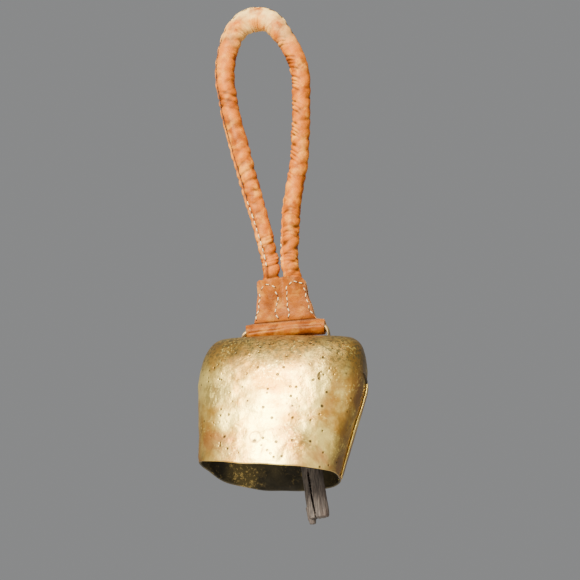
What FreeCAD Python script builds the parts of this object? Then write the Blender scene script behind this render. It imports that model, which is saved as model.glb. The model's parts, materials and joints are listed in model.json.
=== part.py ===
import FreeCAD, Part
import math
import os

import Sketcher

# Handbell: a bell of folded, brazed iron sheet on a leather loop handle, with a wooden clapper.
#
# Three working frames:
#   bell frame    +Z up the bell's axis, X across its wide side, from a point above the crown
#   handle frame  X along the crown loop's bar, +Z up the tab, from the bar's middle
#   loop frame    the handle frame, leaning to the left above the tab
# The row's origin is the hang point, inside the top of the handle's loop, and its axes are the
# bell frame's. Lengths are millimetres and angles are degrees.

V = FreeCAD.Vector
X_AXIS, Y_AXIS, Z_AXIS = V(1, 0, 0), V(0, 1, 0), V(0, 0, 1)

SIZES = [
    ("bell_height", 100.0, "crest above the middle of the rim"),
    ("mouth_width", 95.0, "outside"),
    ("mouth_depth", 71.0, "outside"),
    ("shoulder_width", 120.0, "outside, at the widest level"),
    ("shoulder_depth", 62.0, "outside, at the widest level"),
    ("shoulder_level", 64.0, "widest level above the rim"),
    ("crown_width", 86.0, "nearly flat part of the crest"),
    ("crest_tilt", 2.2, "crest's slope to X, right end up"),
    ("sheet_gauge", 1.5, "sheet with its brass coat"),
    ("oval_power", 2.55, "exponent of the oval sections, 2 is an ellipse"),
    ("mouth_offset", -3.5, "middle of the mouth from the crown's middle, along X"),
    ("rim_rise", 3.5, "rim at the sides above the rim at front and back"),
    ("lap_top", 65.0, "top of the side laps above the rim"),
    ("lap_front", -1.0, "free edge of the outer flap, along Y"),
    ("lap_back", 11.0, "hidden edge of the inner flap, along Y"),
    ("lap_proud", 1.2, "outer flap beyond the wall"),
    ("braze_width", 2.0, "seam braze beside the hidden edge"),
    ("braze_proud", 0.8, "seam braze beyond the wall"),
    ("bar_height", 9.0, "bar's axis above the crest"),
    ("bar_offset", -2.3, "bar's middle from the crown's middle, along X"),
    ("bar_tilt", 6.0, "bar's slope to X, right end up"),
    ("bar_radius", 3.0, "round bar under the leather"),
    ("leg_reach", 31.2, "middle of a leg from the bar's middle"),
    ("leg_bend", 5.0, "radius of the bend from bar to leg"),
    ("leg_gauge", 0.9, "half thickness of a leg"),
    ("leg_half_top", 4.6, "half width of a leg below the bend"),
    ("leg_half_foot", 6.8, "half width of a foot"),
    ("join_step", 0.3, "step in where a flattened end meets its round"),
    ("foot_braze_x", 2.5, "half size of the braze round a foot"),
    ("foot_braze_y", 9.0, "half size of the braze round a foot"),
    ("foot_braze_z", 2.0, "half size of the braze round a foot"),
    ("staple_x", 8.0, "staple's middle from the crown's middle"),
    ("staple_drop", 9.0, "staple's bar below the ceiling"),
    ("staple_half", 7.0, "leg of the staple from its middle"),
    ("staple_wire", 2.0, "radius"),
    ("staple_bend", 3.0, "radius of the bends' middle line"),
    ("blob_radius", 3.6, "braze round a staple leg, at the ceiling"),
    ("blob_depth", 1.8, "braze round a staple leg, below the ceiling"),
    ("thong_lean", 6.0, "thong's rest angle towards the back"),
    ("thong_run", 14.0, "length of the thong's straight strands"),
    ("thong_turn", 4.0, "radius of the thong's end turns"),
    ("thong_lace", 1.4, "radius of the lace"),
    ("eye_below", 17.7, "clapper's eye below the staple's bar"),
    ("clapper_lean", 10.3, "clapper's rest angle to the thong, towards +X"),
    ("clapper_length", 98.0, "eye to tip"),
    ("clapper_half_x", 8.0, "half width of the stick"),
    ("clapper_half_y", 5.6, "half thickness of the stick"),
    ("clapper_bow", 1.8, "sideways bow of the stick"),
    ("head_radius", 6.0, "round top of the flattened head"),
    ("head_half", 2.1, "half thickness of the flattened head"),
    ("head_neck", 12.0, "length of the flattened head below the eye"),
    ("shaft_top", 8.0, "top of the full stick below the eye"),
    ("eye_radius", 2.5, "hole for the thong"),
    ("split_width", 1.1, "drying split in the lower end"),
    ("split_length", 42.0, "height of the split"),
    ("split_x", -1.2, "split from the stick's middle"),
    ("split_step", 4.6, "wide half ends above the narrow half"),
    ("handle_lean", 10.0, "handle's lean to the front"),
    ("loop_skew", 3.5, "loop's lean to the left of the tab"),
    ("loop_pivot", 40.0, "level above the bar's axis where the loop's lean starts"),
    ("roll_half", 28.3, "half length of the rolled leather"),
    ("roll_radius", 5.35, "outside"),
    ("roll_bore", 3.4, "radius round the bar"),
    ("tab_foot", 2.0, "flaps' lower edge above the bar's axis, inside the roll"),
    ("tab_top", 37.5, "flaps' top edge above the bar's axis"),
    ("tab_half_top", 16.4, "half width at the top edge"),
    ("tab_half_bottom", 24.8, "half width at the roll"),
    ("tab_half_y", 3.8, "half thickness over both flaps"),
    ("tab_slot", 1.8, "half gap between the flaps"),
    ("tongue_half_x", 7.2, "half width of a flattened end"),
    ("tongue_half_y", 1.7, "half thickness of a flattened end"),
    ("tongue_bottom", 9.0, "lower end of the tongues above the bar's axis"),
    ("tongue_spread", 3.0, "how far the tongues run apart inside the tab"),
    ("grip_start", 46.0, "lower end of the round grip above the bar's axis"),
    ("grip_waist", 7.7, "grip's middle line from Z at its lower end"),
    ("grip_belly", 28.5, "grip's middle line from Z at its widest"),
    ("grip_belly_z", 188.0, "widest level above the bar's axis"),
    ("grip_top", 241.0, "top of the middle line above the bar's axis"),
    ("grip_top_turn", 19.0, "radius of the middle line's top turn"),
    ("grip_low_radius", 6.1, "grip at its lower end"),
    ("grip_mid_radius", 6.6, "grip half way up its legs"),
    ("grip_belly_radius", 6.9, "grip at its widest level"),
    ("grip_top_radius", 7.4, "grip at its top"),
    ("grip_ring_pitch", 9.0, "most length between the grip's rings"),
    ("cover_gauge", 1.6, "leather round the grip's core"),
    ("thread_radius", 0.45, "waxed thread"),
    ("stitch_length", 3.6, "visible length of a stitch"),
    ("stitch_pitch", 5.4, "from stitch to stitch"),
    ("stitch_margin", 2.2, "stitch line from the tab's edge"),
    ("stitch_arch", 31.5, "cross stitches above the bar's axis"),
    ("stitch_low", 8.0, "lowest stitches above the bar's axis"),
    ("stitch_inner", 4.4, "inner stitch line from the tab's middle"),
    ("seam_front", 55.0, "seam's turn to the front at the left leg's lower end"),
    ("seam_wrap", 255.0, "seam's turn round the grip, left leg to right leg"),
]

doc = FreeCAD.newDocument("handbell")
sheet = doc.addObject("Spreadsheet::Sheet", "sizes")
for row, (alias, value, note) in enumerate(SIZES, start=1):
    sheet.set(f"A{row}", alias)
    sheet.set(f"B{row}", str(value))
    sheet.set(f"C{row}", note)
    sheet.setAlias(f"B{row}", alias)
doc.recompute()


def size(alias):
    """A driving dimension, read from the sheet."""
    return float(sheet.get(alias))


def cells(formula):
    """An expression in which #word stands for the sheet's cell of that alias."""
    return formula.replace("#", "sizes.")


def turn(axis, degrees):
    return FreeCAD.Rotation(axis, degrees)


def at(x, y, z, rotation=None):
    return FreeCAD.Placement(V(x, y, z), rotation or FreeCAD.Rotation())


# ---------------------------------------------------------------- frames

BAR_TURN = turn(Y_AXIS, -size("bar_tilt"))
HANDLE_TURN = BAR_TURN.multiply(turn(X_AXIS, size("handle_lean")))
CROWN_TURN = turn(Y_AXIS, -size("crest_tilt"))
LOOP_PIVOT = V(0, 0, size("loop_pivot"))
LOOP_SKEW = FreeCAD.Placement(V(), turn(Y_AXIS, -size("loop_skew")), LOOP_PIVOT)
HANG_POINT = V(0, 0, size("grip_top") - size("grip_top_radius"))
BAR_MIDDLE = -HANDLE_TURN.multVec(LOOP_SKEW.multVec(HANG_POINT))

IN_HANDLE = FreeCAD.Placement(BAR_MIDDLE, HANDLE_TURN)
IN_LOOP = IN_HANDLE.multiply(LOOP_SKEW)
IN_BELL = FreeCAD.Placement(BAR_MIDDLE - V(size("bar_offset"), 0, 0), FreeCAD.Rotation())
CREST_Z = -size("bar_height")
RIM_Z = CREST_Z - size("bell_height")
CREST_SLOPE = math.tan(math.radians(size("crest_tilt")))
CEILING = V(size("staple_x"), 0, CREST_Z - size("sheet_gauge") + size("staple_x") * CREST_SLOPE)

IN_CEILING = IN_BELL.multiply(FreeCAD.Placement(CEILING, CROWN_TURN))
IN_THONG = IN_CEILING.multiply(at(0, 0, -size("staple_drop"), turn(X_AXIS, size("thong_lean"))))
IN_CLAPPER = IN_THONG.multiply(at(0, 0, -size("eye_below"), turn(Y_AXIS, -size("clapper_lean"))))

PARTS = []


# ---------------------------------------------------------------- ways to make an object

def finish(obj, label, frame):
    """Names a sub-part and carries it from its working frame to the row's frame."""
    obj.Label = label
    obj.Placement = frame.multiply(obj.Placement)
    PARTS.append(obj)
    return obj


def shaped(name, shape):
    """An object for a shape that no primitive or sketched feature gives."""
    obj = doc.addObject("Part::Feature", name)
    obj.Shape = shape
    return obj


def primitive(kind, name, place, **formulas):
    """A Part primitive whose sizes are bound to the sheet."""
    obj = doc.addObject("Part::" + kind, name)
    obj.Placement = place
    for key, formula in formulas.items():
        obj.setExpression(key, cells(formula))
    return obj


def cut(name, base, tool):
    obj = doc.addObject("Part::Cut", name)
    obj.Base, obj.Tool = base, tool
    return obj


def joined(name, pieces):
    obj = doc.addObject("Part::MultiFuse", name)
    obj.Shapes = pieces
    return obj


def loft(name, sections, ruled=False):
    obj = doc.addObject("Part::Loft", name)
    obj.Sections = sections
    obj.Solid = True
    obj.Ruled = ruled
    return obj


def ring(name, place, long_half, short_half):
    """An ellipse for a loft, its long axis along the placement's X."""
    return primitive("Ellipse", name, place, MajorRadius=long_half, MinorRadius=short_half)


def sketch_on(body, name, role):
    """A sketch on one of the body's own origin planes."""
    plane = next(f for f in body.Origin.OriginFeatures if f.Role == role)
    sketch = body.newObject("Sketcher::SketchObject", name)
    sketch.AttachmentSupport = [(plane, "")]
    sketch.MapMode = "FlatFace"
    return sketch


def circle(sketch, x, y, radius):
    """A circle whose radius is bound to the sheet."""
    index = sketch.addGeometry(Part.Circle(V(x, y, 0), Z_AXIS, 1), False)
    number = sketch.addConstraint(Sketcher.Constraint("Radius", index, 1.0))
    sketch.setExpression(f"Constraints[{number}]", cells(radius))


def outline(sketch, corners):
    """A closed outline of straight lines; each corner is (x, y), bound to the sheet."""
    count = len(corners)
    step = 2 * math.pi / count
    spread = [V(math.cos(step * i), math.sin(step * i), 0) for i in range(count)]
    for i in range(count):
        sketch.addGeometry(Part.LineSegment(spread[i], spread[(i + 1) % count]), False)
    for i in range(count):
        sketch.addConstraint(Sketcher.Constraint("Coincident", i, 2, (i + 1) % count, 1))
    for i, corner in enumerate(corners):
        for kind, formula in zip(("DistanceX", "DistanceY"), corner):
            number = sketch.addConstraint(Sketcher.Constraint(kind, -1, 1, i, 1, 1.0))
            sketch.setExpression(f"Constraints[{number}]", cells(formula))


def both_ways(body, kind, name, sketch, length):
    """A Pad or Pocket that runs half its length to each side of the sketch."""
    feature = body.newObject("PartDesign::" + kind, name)
    feature.Profile = sketch
    feature.Midplane = True
    feature.setExpression("Length", cells(length))
    return feature


# ---------------------------------------------------------------- bell sheet

WALL_STEPS = (-0.06, 0.3, 0.66)
SHOULDER_STEPS = (0.0, 0.35, 0.58, 0.76, 0.89, 0.975)
OVAL_POINTS = 36


def half_sizes(z, fold):
    """Half width and half depth of the bell's outside at z above the rim; fold is 0 up to the
    shoulder and nears 1 at the crest."""
    wide, deep = size("shoulder_width") / 2, size("shoulder_depth") / 2
    mouth_a, mouth_b = size("mouth_width") / 2, size("mouth_depth") / 2
    if fold == 0:
        part = z / size("shoulder_level")
        swell = part * (1.3 - 0.3 * part)
        return mouth_a + (wide - mouth_a) * swell, mouth_b + (deep - mouth_b) * swell
    round_in = math.sqrt(1 - fold * fold)
    return wide - (wide - size("crown_width") / 2) * (1 - round_in), deep * round_in


def oval(a, b, z, lift):
    """The closed section of half sizes a and b at z above the rim, moved up by lift."""
    power = 2 / size("oval_power")
    up = z / size("bell_height")
    middle = size("mouth_offset") * (1 - up)
    points = []
    for i in range(OVAL_POINTS):
        angle = 2 * math.pi * i / OVAL_POINTS
        c, s = math.cos(angle), math.sin(angle)
        x = middle + a * math.copysign(abs(c) ** power, c)
        y = b * math.copysign(abs(s) ** power, s)
        points.append(V(x, y, RIM_Z + z + lift + x * CREST_SLOPE * up))
    curve = Part.BSplineCurve()
    curve.interpolate(Points=points, PeriodicFlag=True)
    return Part.Wire(curve.toShape())


def bell_form(grow):
    """The bell's outside grown by grow: a closed solid that runs on a little below the rim."""
    level, height = size("shoulder_level"), size("bell_height")
    stations = [(level * step, 0.0) for step in WALL_STEPS]
    stations += [(level + (height - level) * f / SHOULDER_STEPS[-1], f) for f in SHOULDER_STEPS]
    ovals = []
    for z, fold in stations:
        a, b = half_sizes(z, fold)
        ovals.append(oval(a + grow, b + grow, z, grow * fold / SHOULDER_STEPS[-1]))
    return Part.makeLoft(ovals, True, False)


def rim_drum():
    """A wide drum along Y whose lowest stretch is the curve that the rim is cut to."""
    half, depth = size("mouth_width") / 2, 2 * size("shoulder_depth")
    radius = half * half / (2 * size("rim_rise"))
    return Part.makeCylinder(radius, depth, V(size("mouth_offset"), -depth / 2, RIM_Z + radius), Y_AXIS)


def side_box(side, y0, y1):
    """A box over the lapped height of one side wall, between two distances along side * Y."""
    reach, below = size("shoulder_width"), size("shoulder_level")
    low, high = sorted((side * y0, side * y1))
    corner = V(min(0, side * reach), low, RIM_Z - below)
    return Part.makeBox(reach, high - low, below + size("lap_top"), corner)


OUTER_FORM = bell_form(0)
INNER_FORM = bell_form(-size("sheet_gauge"))
RIM_DRUM = rim_drum()


def side_lap(side):
    """The outer flap of a side seam: proud of the wall, and half way into it."""
    skin = bell_form(size("lap_proud")).cut(bell_form(-size("sheet_gauge") / 2))
    return skin.common(side_box(side, size("lap_front"), size("lap_back")))


def bell_sheet():
    wall = OUTER_FORM.cut(INNER_FORM)
    folded = wall.fuse([side_lap(-1), side_lap(1)])
    finish(shaped("bell_sheet", folded.common(RIM_DRUM)), "bell_sheet", IN_BELL)


def seam_braze(side, label):
    """Brass run in beside the inner flap's hidden edge, on the inside of the wall."""
    skin = INNER_FORM.cut(bell_form(-size("sheet_gauge") - size("braze_proud")))
    edge = size("lap_back")
    bead = skin.common(side_box(side, edge - size("braze_width"), edge)).common(RIM_DRUM)
    finish(shaped(label, bead), label, IN_BELL)


# ---------------------------------------------------------------- crown loop

def crown_leg(side, name):
    """A leg from the bar's end round the bend and down past the crown, flattening on the way."""
    reach, bend = size("leg_reach"), size("leg_bend")
    start = reach - bend
    half_way = bend * math.sin(math.radians(45))
    stations = [
        (start, 0, 90, "#bar_radius - #join_step / 2", "#bar_radius - #join_step"),
        (start + half_way, half_way - bend, 135, "(#bar_radius + #leg_half_top) / 2",
         "(#bar_radius + #leg_gauge) / 2.4"),
        (reach, -bend, 180, "#leg_half_top", "#leg_gauge"),
        (reach, -size("bar_height") - bend, 180, "#leg_half_foot", "#leg_gauge"),
    ]
    rings = []
    for i, (x, z, slope, half_y, half_x) in enumerate(stations):
        tilt = turn(Y_AXIS, side * slope).multiply(turn(Z_AXIS, 90))
        rings.append(ring(f"{name}_ring{i}", at(side * x, 0, z, tilt), half_y, half_x))
    return loft(name, rings)


def crown_blank():
    """The loop before its feet are fitted: a round bar and two flattened legs."""
    start = size("leg_bend") - size("leg_reach")
    bar = primitive("Cylinder", "crown_bar", at(start, 0, 0, turn(Y_AXIS, 90)),
                    Radius="#bar_radius", Height="2 * (#leg_reach - #leg_bend)")
    blank = joined("crown_blank", [bar, crown_leg(-1, "left_leg"), crown_leg(1, "right_leg")])
    blank.Placement = FreeCAD.Placement(V(size("bar_offset"), 0, 0), BAR_TURN)
    return blank


def foot_braze(side, label, form, blank):
    """A mound of brass round one foot, hollowed by the foot and the crown."""
    tilt = math.radians(size("bar_tilt"))
    along = side * size("leg_reach")
    x = size("bar_offset") + along * math.cos(tilt) + size("bar_height") * math.sin(tilt)
    place = at(x, 0, CREST_Z + x * CREST_SLOPE)
    mound = primitive("Ellipsoid", label + "_mound", place, Radius1="#foot_braze_z",
                      Radius2="#foot_braze_x", Radius3="#foot_braze_y")
    seated = cut(label + "_seated", mound, form)
    finish(cut(label, seated, blank), label, IN_BELL)


def crown():
    """The loop and the braze round its feet, all fitted to the crown's outside."""
    form = shaped("crown_form", OUTER_FORM)
    blank = crown_blank()
    finish(cut("crown_loop", blank, form), "crown_loop", IN_BELL)
    foot_braze(-1, "foot_braze_left", form, blank)
    foot_braze(1, "foot_braze_right", form, blank)


# ---------------------------------------------------------------- staple and its braze

def clapper_staple():
    """Round wire bent to a U, hung from the ceiling with its bar along X."""
    body = doc.addObject("PartDesign::Body", "clapper_staple")
    half, drop, bend = size("staple_half"), size("staple_drop"), size("staple_bend")
    corner, low = half - bend, bend - drop
    route = sketch_on(body, "staple_route", "XZ_Plane")
    route.addGeometry([
        Part.LineSegment(V(-half, 0, 0), V(-half, low, 0)),
        Part.ArcOfCircle(Part.Circle(V(-corner, low, 0), Z_AXIS, bend), math.pi, 1.5 * math.pi),
        Part.LineSegment(V(-corner, -drop, 0), V(corner, -drop, 0)),
        Part.ArcOfCircle(Part.Circle(V(corner, low, 0), Z_AXIS, bend), 1.5 * math.pi, 2 * math.pi),
        Part.LineSegment(V(half, low, 0), V(half, 0, 0)),
    ], False)
    section = sketch_on(body, "staple_section", "XY_Plane")
    circle(section, -half, 0, "#staple_wire")
    wire = body.newObject("PartDesign::AdditivePipe", "staple_pipe")
    wire.Profile = section
    wire.Spine = route
    finish(body, "clapper_staple", IN_CEILING)


def staple_braze():
    """A tapered blob of brass round each leg of the staple, against the ceiling."""
    blobs = []
    for side, name in ((-1, "left_blob"), (1, "right_blob")):
        place = at(side * size("staple_half"), 0, 0, turn(X_AXIS, 180))
        cone = primitive("Cone", name + "_cone", place, Radius1="#blob_radius",
                         Radius2="#staple_wire + 0.3", Height="#blob_depth")
        leg = primitive("Cylinder", name + "_leg", place, Radius="#staple_wire", Height="#staple_drop / 2")
        blobs.append(cut(name, cone, leg))
    finish(joined("staple_braze", blobs), "staple_braze", IN_CEILING)


# ---------------------------------------------------------------- thong and clapper

def clapper_thong():
    """A closed loop of leather lace, over the staple's bar and through the clapper's eye."""
    run, reach = size("thong_run"), size("thong_turn")
    pieces = []
    for name, z, start in (("top_turn", 0, 90), ("low_turn", -run, -90)):
        place = at(0, 0, z, turn(X_AXIS, start).multiply(turn(Y_AXIS, 90)))
        half = primitive("Torus", name, place, Radius1="#thong_turn", Radius2="#thong_lace")
        half.Angle3 = 180
        pieces.append(half)
    for name, y in (("front_strand", -reach), ("back_strand", reach)):
        pieces.append(primitive("Cylinder", name, at(0, y, -run), Radius="#thong_lace",
                                Height="#thong_run"))
    finish(joined("clapper_thong", pieces), "clapper_thong", IN_THONG)


def clapper_shaft():
    """The stick below its head: ovals along a slightly bowed middle line."""
    top, length, bow = size("shaft_top"), size("clapper_length"), size("clapper_bow")
    rings = []
    for i, (part, fill) in enumerate(((0, 0.76), (0.3, 0.9), (0.62, 1.0), (0.93, 0.97), (1, 0.8))):
        z = top + (length - top) * part
        x = 4 * bow * (z / length) * (1 - z / length)
        rings.append(ring(f"shaft_ring{i}", at(x, 0, -z), f"#clapper_half_x * {fill}",
                          f"#clapper_half_y * {fill}"))
    return loft("clapper_shaft", rings)


def clapper():
    """A wooden stick with a flattened, pierced head and a drying split in its lower end."""
    crosswise = turn(X_AXIS, 90)
    half, radius, length = size("head_half"), size("head_radius"), size("clapper_length")
    wide = size("clapper_half_x")
    top = primitive("Cylinder", "head_top", at(0, half, 0, crosswise), Radius="#head_radius",
                    Height="2 * #head_half")
    neck = primitive("Box", "head_neck", at(-radius, -half, -size("head_neck")),
                     Length="2 * #head_radius", Width="2 * #head_half", Height="#head_neck")
    stick = joined("stick", [clapper_shaft(), top, neck])
    eye = primitive("Cylinder", "eye", at(0, 3 * half, 0, crosswise), Radius="#eye_radius",
                    Height="6 * #head_half")
    split = primitive("Box", "split", at(size("split_x") - size("split_width") / 2, -wide, -length - 1),
                      Length="#split_width", Width="2 * #clapper_half_x", Height="#split_length")
    step = primitive("Box", "split_step_box", at(size("split_x"), -wide, -length - 1),
                     Length="2 * #clapper_half_x", Width="2 * #clapper_half_x", Height="#split_step + 1")
    waste = joined("clapper_waste", [eye, split, step])
    finish(cut("clapper", stick, waste), "clapper", IN_CLAPPER)


# ---------------------------------------------------------------- grip

def arc_edge(x, z, radius, start, end):
    """A circular arc in the XZ plane about (x, z), from start to end degrees above +X."""
    points = []
    for part in (0, 0.5, 1):
        angle = math.radians(start + (end - start) * part)
        points.append(V(x + radius * math.cos(angle), 0, z + radius * math.sin(angle)))
    return Part.Arc(*points).toShape()


def grip_edges():
    """The loop's middle line as tangent arcs, up the left leg, over the top and down the right."""
    waist, belly = size("grip_waist"), size("grip_belly")
    low, level, top = size("grip_start"), size("grip_belly_z"), size("grip_top")
    top_turn = size("grip_top_turn")
    across, rise = (belly - waist) / 2, (level - low) / 2
    sway = (across * across + rise * rise) / (2 * across)
    swing = math.degrees(math.asin(rise / sway))
    shoulder = top - top_turn - level
    flank = (belly ** 2 + shoulder ** 2 - top_turn ** 2) / (2 * (belly - top_turn))
    lean = math.degrees(math.asin(shoulder / (flank - top_turn)))
    crown_z = top - top_turn
    return [
        arc_edge(-waist - sway, low, sway, 0, swing),
        arc_edge(sway - belly, level, sway, 180 + swing, 180),
        arc_edge(flank - belly, level, flank, 180, 180 - lean),
        arc_edge(0, crown_z, top_turn, 180 - lean, 90),
        arc_edge(0, crown_z, top_turn, 90, lean),
        arc_edge(belly - flank, level, flank, lean, 0),
        arc_edge(belly - sway, level, sway, 0, -swing),
        arc_edge(waist + sway, low, sway, 180 - swing, 180),
    ]


def grip_radii():
    """The grip's radius at the ends of the middle line's edges."""
    low, mid = size("grip_low_radius"), size("grip_mid_radius")
    belly, top = size("grip_belly_radius"), size("grip_top_radius")
    return [low, mid, belly, (belly + top) / 2, top, (belly + top) / 2, belly, mid, low]


def grip_tube(edges, shrink):
    """A round tube along the loop through rings square to it, its radius eased from edge to edge."""
    radii = grip_radii()
    rings = []
    for k, edge in enumerate(edges):
        count = math.ceil(edge.Length / size("grip_ring_pitch"))
        first, last = edge.FirstParameter, edge.LastParameter
        for i in range(count + (k == len(edges) - 1)):
            part = i / count
            where = first + (last - first) * part
            radius = radii[k] + (radii[k + 1] - radii[k]) * part - shrink
            circle_edge = Part.makeCircle(radius, edge.valueAt(where), edge.tangentAt(where))
            rings.append(Part.Wire(circle_edge))
    return Part.makeLoft(rings, True, False)


def tongue(side, name):
    """One flattened end of the cover, spreading a little between the tab's flaps."""
    waist, spread = size("grip_waist"), size("tongue_spread")
    stations = [
        (waist, size("grip_start"), "#grip_low_radius - #join_step / 2", "#grip_low_radius - #join_step"),
        (waist, size("tab_top") + 0.5, "#tongue_half_x", "#tongue_half_y"),
        (waist + spread, size("tongue_bottom"), "#tongue_half_x", "#tongue_half_y"),
    ]
    rings = [ring(f"{name}_ring{i}", at(side * x, 0, z), wide, thin)
             for i, (x, z, wide, thin) in enumerate(stations)]
    return loft(name, rings, ruled=True)


def grip():
    """The leather cover with its flattened ends, and the core that fills its round part."""
    edges = grip_edges()
    core = grip_tube(edges, size("cover_gauge"))
    tube = shaped("cover_tube", grip_tube(edges, 0).cut(core))
    cover = joined("grip_cover", [tube, tongue(-1, "left_tongue"), tongue(1, "right_tongue")])
    finish(cover, "grip_cover", IN_LOOP)
    finish(shaped("grip_core", core), "grip_core", IN_LOOP)


# ---------------------------------------------------------------- tab

def tab_leather():
    """One piece of leather folded over the bar: a roll with a flap up its front and its back."""
    body = doc.addObject("PartDesign::Body", "tab_leather")
    roll = sketch_on(body, "roll_outside", "YZ_Plane")
    circle(roll, 0, 0, "#roll_radius")
    both_ways(body, "Pad", "roll_pad", roll, "2 * #roll_half")
    flap = sketch_on(body, "flap_outline", "XZ_Plane")
    outline(flap, [
        ("-#tab_half_bottom", "#tab_foot"),
        ("#tab_half_bottom", "#tab_foot"),
        ("#tab_half_top", "#tab_top"),
        ("-#tab_half_top", "#tab_top"),
    ])
    both_ways(body, "Pad", "flap_pad", flap, "2 * #tab_half_y")
    bore = sketch_on(body, "bar_bore", "YZ_Plane")
    circle(bore, 0, 0, "#roll_bore")
    both_ways(body, "Pocket", "bore_pocket", bore, "4 * #roll_half")
    gap = sketch_on(body, "flap_gap", "YZ_Plane")
    outline(gap, [
        ("-#tab_slot", "#tab_foot / 4"),
        ("#tab_slot", "#tab_foot / 4"),
        ("#tab_slot", "2 * #tab_top"),
        ("-#tab_slot", "2 * #tab_top"),
    ])
    both_ways(body, "Pocket", "gap_pocket", gap, "4 * #roll_half")
    finish(body, "tab_leather", IN_HANDLE)


# ---------------------------------------------------------------- stitching

def stitch(name, middle, direction):
    """One visible stitch: a short straight length of thread lying along direction."""
    direction = V(direction).normalize()
    length = size("stitch_length")
    place = FreeCAD.Placement(middle - direction * (length / 2), FreeCAD.Rotation(Z_AXIS, direction))
    return primitive("Cylinder", name, place, Radius="#thread_radius", Height="#stitch_length")


def pocket_line(side):
    """The stitch line round one tongue: up the tab's edge, across, and down beside the middle."""
    margin, arch, low = size("stitch_margin"), size("stitch_arch"), size("stitch_low")
    wide, narrow, inner = size("tab_half_bottom"), size("tab_half_top"), size("stitch_inner")
    rise = size("tab_top") - size("tab_foot")

    def edge_x(z):
        return wide + (narrow - wide) * (z - size("tab_foot")) / rise - margin

    corners = [(edge_x(low), low), (edge_x(arch), arch), (inner, arch), (inner, low)]
    return [V(side * x, 0, z) for x, z in corners]


def tab_thread(side, label):
    """The saddle stitches of one pocket, which show on both flaps."""
    pitch, face = size("stitch_pitch"), size("tab_half_y") + size("thread_radius") / 2
    corners = pocket_line(side)
    stitches = []
    for start, end in zip(corners, corners[1:]):
        run = end - start
        count = max(1, round(run.Length / pitch))
        for i in range(count):
            middle = start + run * ((i + 0.5) / count)
            for y in (-face, face):
                name = f"{label}_{len(stitches)}"
                stitches.append(stitch(name, middle + V(0, y, 0), run))
    thread = doc.addObject("Part::Compound", label)
    thread.Links = stitches
    finish(thread, label, IN_HANDLE)


def seam_thread():
    """The running stitches that close the grip's cover, turning slowly round it."""
    edges = grip_edges()
    lengths = [e.Length for e in edges]
    whole = sum(lengths)
    stops = [sum(lengths[:i]) / whole for i in range(len(lengths) + 1)]
    radii = grip_radii()
    points = Part.Wire(edges).discretize(Number=round(whole / size("stitch_pitch")))
    front, wrap = size("seam_front"), size("seam_wrap")
    stitches = []
    for i in range(1, len(points) - 1):
        along = (points[i + 1] - points[i - 1]).normalize()
        outward = V(-along.z, 0, along.x)
        part = i / (len(points) - 1)
        k = max(j for j in range(len(radii) - 1) if stops[j] <= part)
        ease = (part - stops[k]) / (stops[k + 1] - stops[k])
        radius = radii[k] + (radii[k + 1] - radii[k]) * ease
        if part < stops[4]:
            angle = front * (1 - part / stops[4]) ** 3
        else:
            angle = (front - wrap) * ((part - stops[4]) / (1 - stops[4])) ** 2
        angle = math.radians(angle)
        aside = outward * math.cos(angle) - Y_AXIS * math.sin(angle)
        stitches.append(stitch(f"seam_stitch_{i}", points[i] + aside * (radius + 0.2), along))
    thread = doc.addObject("Part::Compound", "seam_thread")
    thread.Links = stitches
    finish(thread, "seam_thread", IN_LOOP)


# ---------------------------------------------------------------- build, check, write

bell_sheet()
seam_braze(-1, "seam_braze_left")
seam_braze(1, "seam_braze_right")
crown()
clapper_staple()
staple_braze()
clapper_thong()
clapper()
grip()
tab_leather()
tab_thread(-1, "tab_thread_left")
tab_thread(1, "tab_thread_right")
seam_thread()
doc.recompute()

for obj in doc.Objects:
    if "Invalid" in obj.State or "Error" in obj.State:
        raise RuntimeError(f"{obj.Label} failed: {obj.State}")
for obj in PARTS:
    if obj.Shape.isNull() or not obj.Shape.isValid() or obj.Shape.Volume <= 0:
        raise RuntimeError(f"{obj.Label} has no sound shape")

os.makedirs("parts", exist_ok=True)
for obj in PARTS:
    obj.Shape.exportStep(f"parts/{obj.Label}.step")
    box = obj.Shape.BoundBox
    spans = [(box.XMin, box.XMax), (box.YMin, box.YMax), (box.ZMin, box.ZMax)]
    print(f"{obj.Label:20s} {obj.Shape.Volume:10.1f} mm3, {len(obj.Shape.Solids)} solids, "
          + " ".join(f"{axis} {low:.1f}..{high:.1f}" for axis, (low, high) in zip("xyz", spans)))
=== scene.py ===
# Handbell: the looks of a folded-sheet bell on a stitched leather loop, with a wooden clapper.
import json
import math

import bpy
import bmesh
import numpy as np
from mathutils import Matrix, Vector


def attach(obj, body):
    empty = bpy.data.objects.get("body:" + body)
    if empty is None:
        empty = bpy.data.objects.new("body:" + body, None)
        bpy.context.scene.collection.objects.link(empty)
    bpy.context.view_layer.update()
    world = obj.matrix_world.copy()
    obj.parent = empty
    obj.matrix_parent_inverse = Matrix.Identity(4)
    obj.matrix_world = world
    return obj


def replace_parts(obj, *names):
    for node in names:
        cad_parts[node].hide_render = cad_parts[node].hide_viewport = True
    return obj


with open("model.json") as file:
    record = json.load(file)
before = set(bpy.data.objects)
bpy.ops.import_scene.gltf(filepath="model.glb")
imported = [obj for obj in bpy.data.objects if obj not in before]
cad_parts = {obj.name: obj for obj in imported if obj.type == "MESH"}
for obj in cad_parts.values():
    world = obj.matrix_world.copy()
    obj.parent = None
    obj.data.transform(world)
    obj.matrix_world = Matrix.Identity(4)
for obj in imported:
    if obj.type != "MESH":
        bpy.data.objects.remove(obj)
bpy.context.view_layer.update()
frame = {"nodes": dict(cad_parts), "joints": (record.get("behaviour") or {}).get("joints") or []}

MM = 0.001
WELD = 2e-6
JOINTS = {joint["name"]: joint for joint in frame["joints"]}
BAR = np.array(JOINTS["bell_swing"]["pos_m"])
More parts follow.
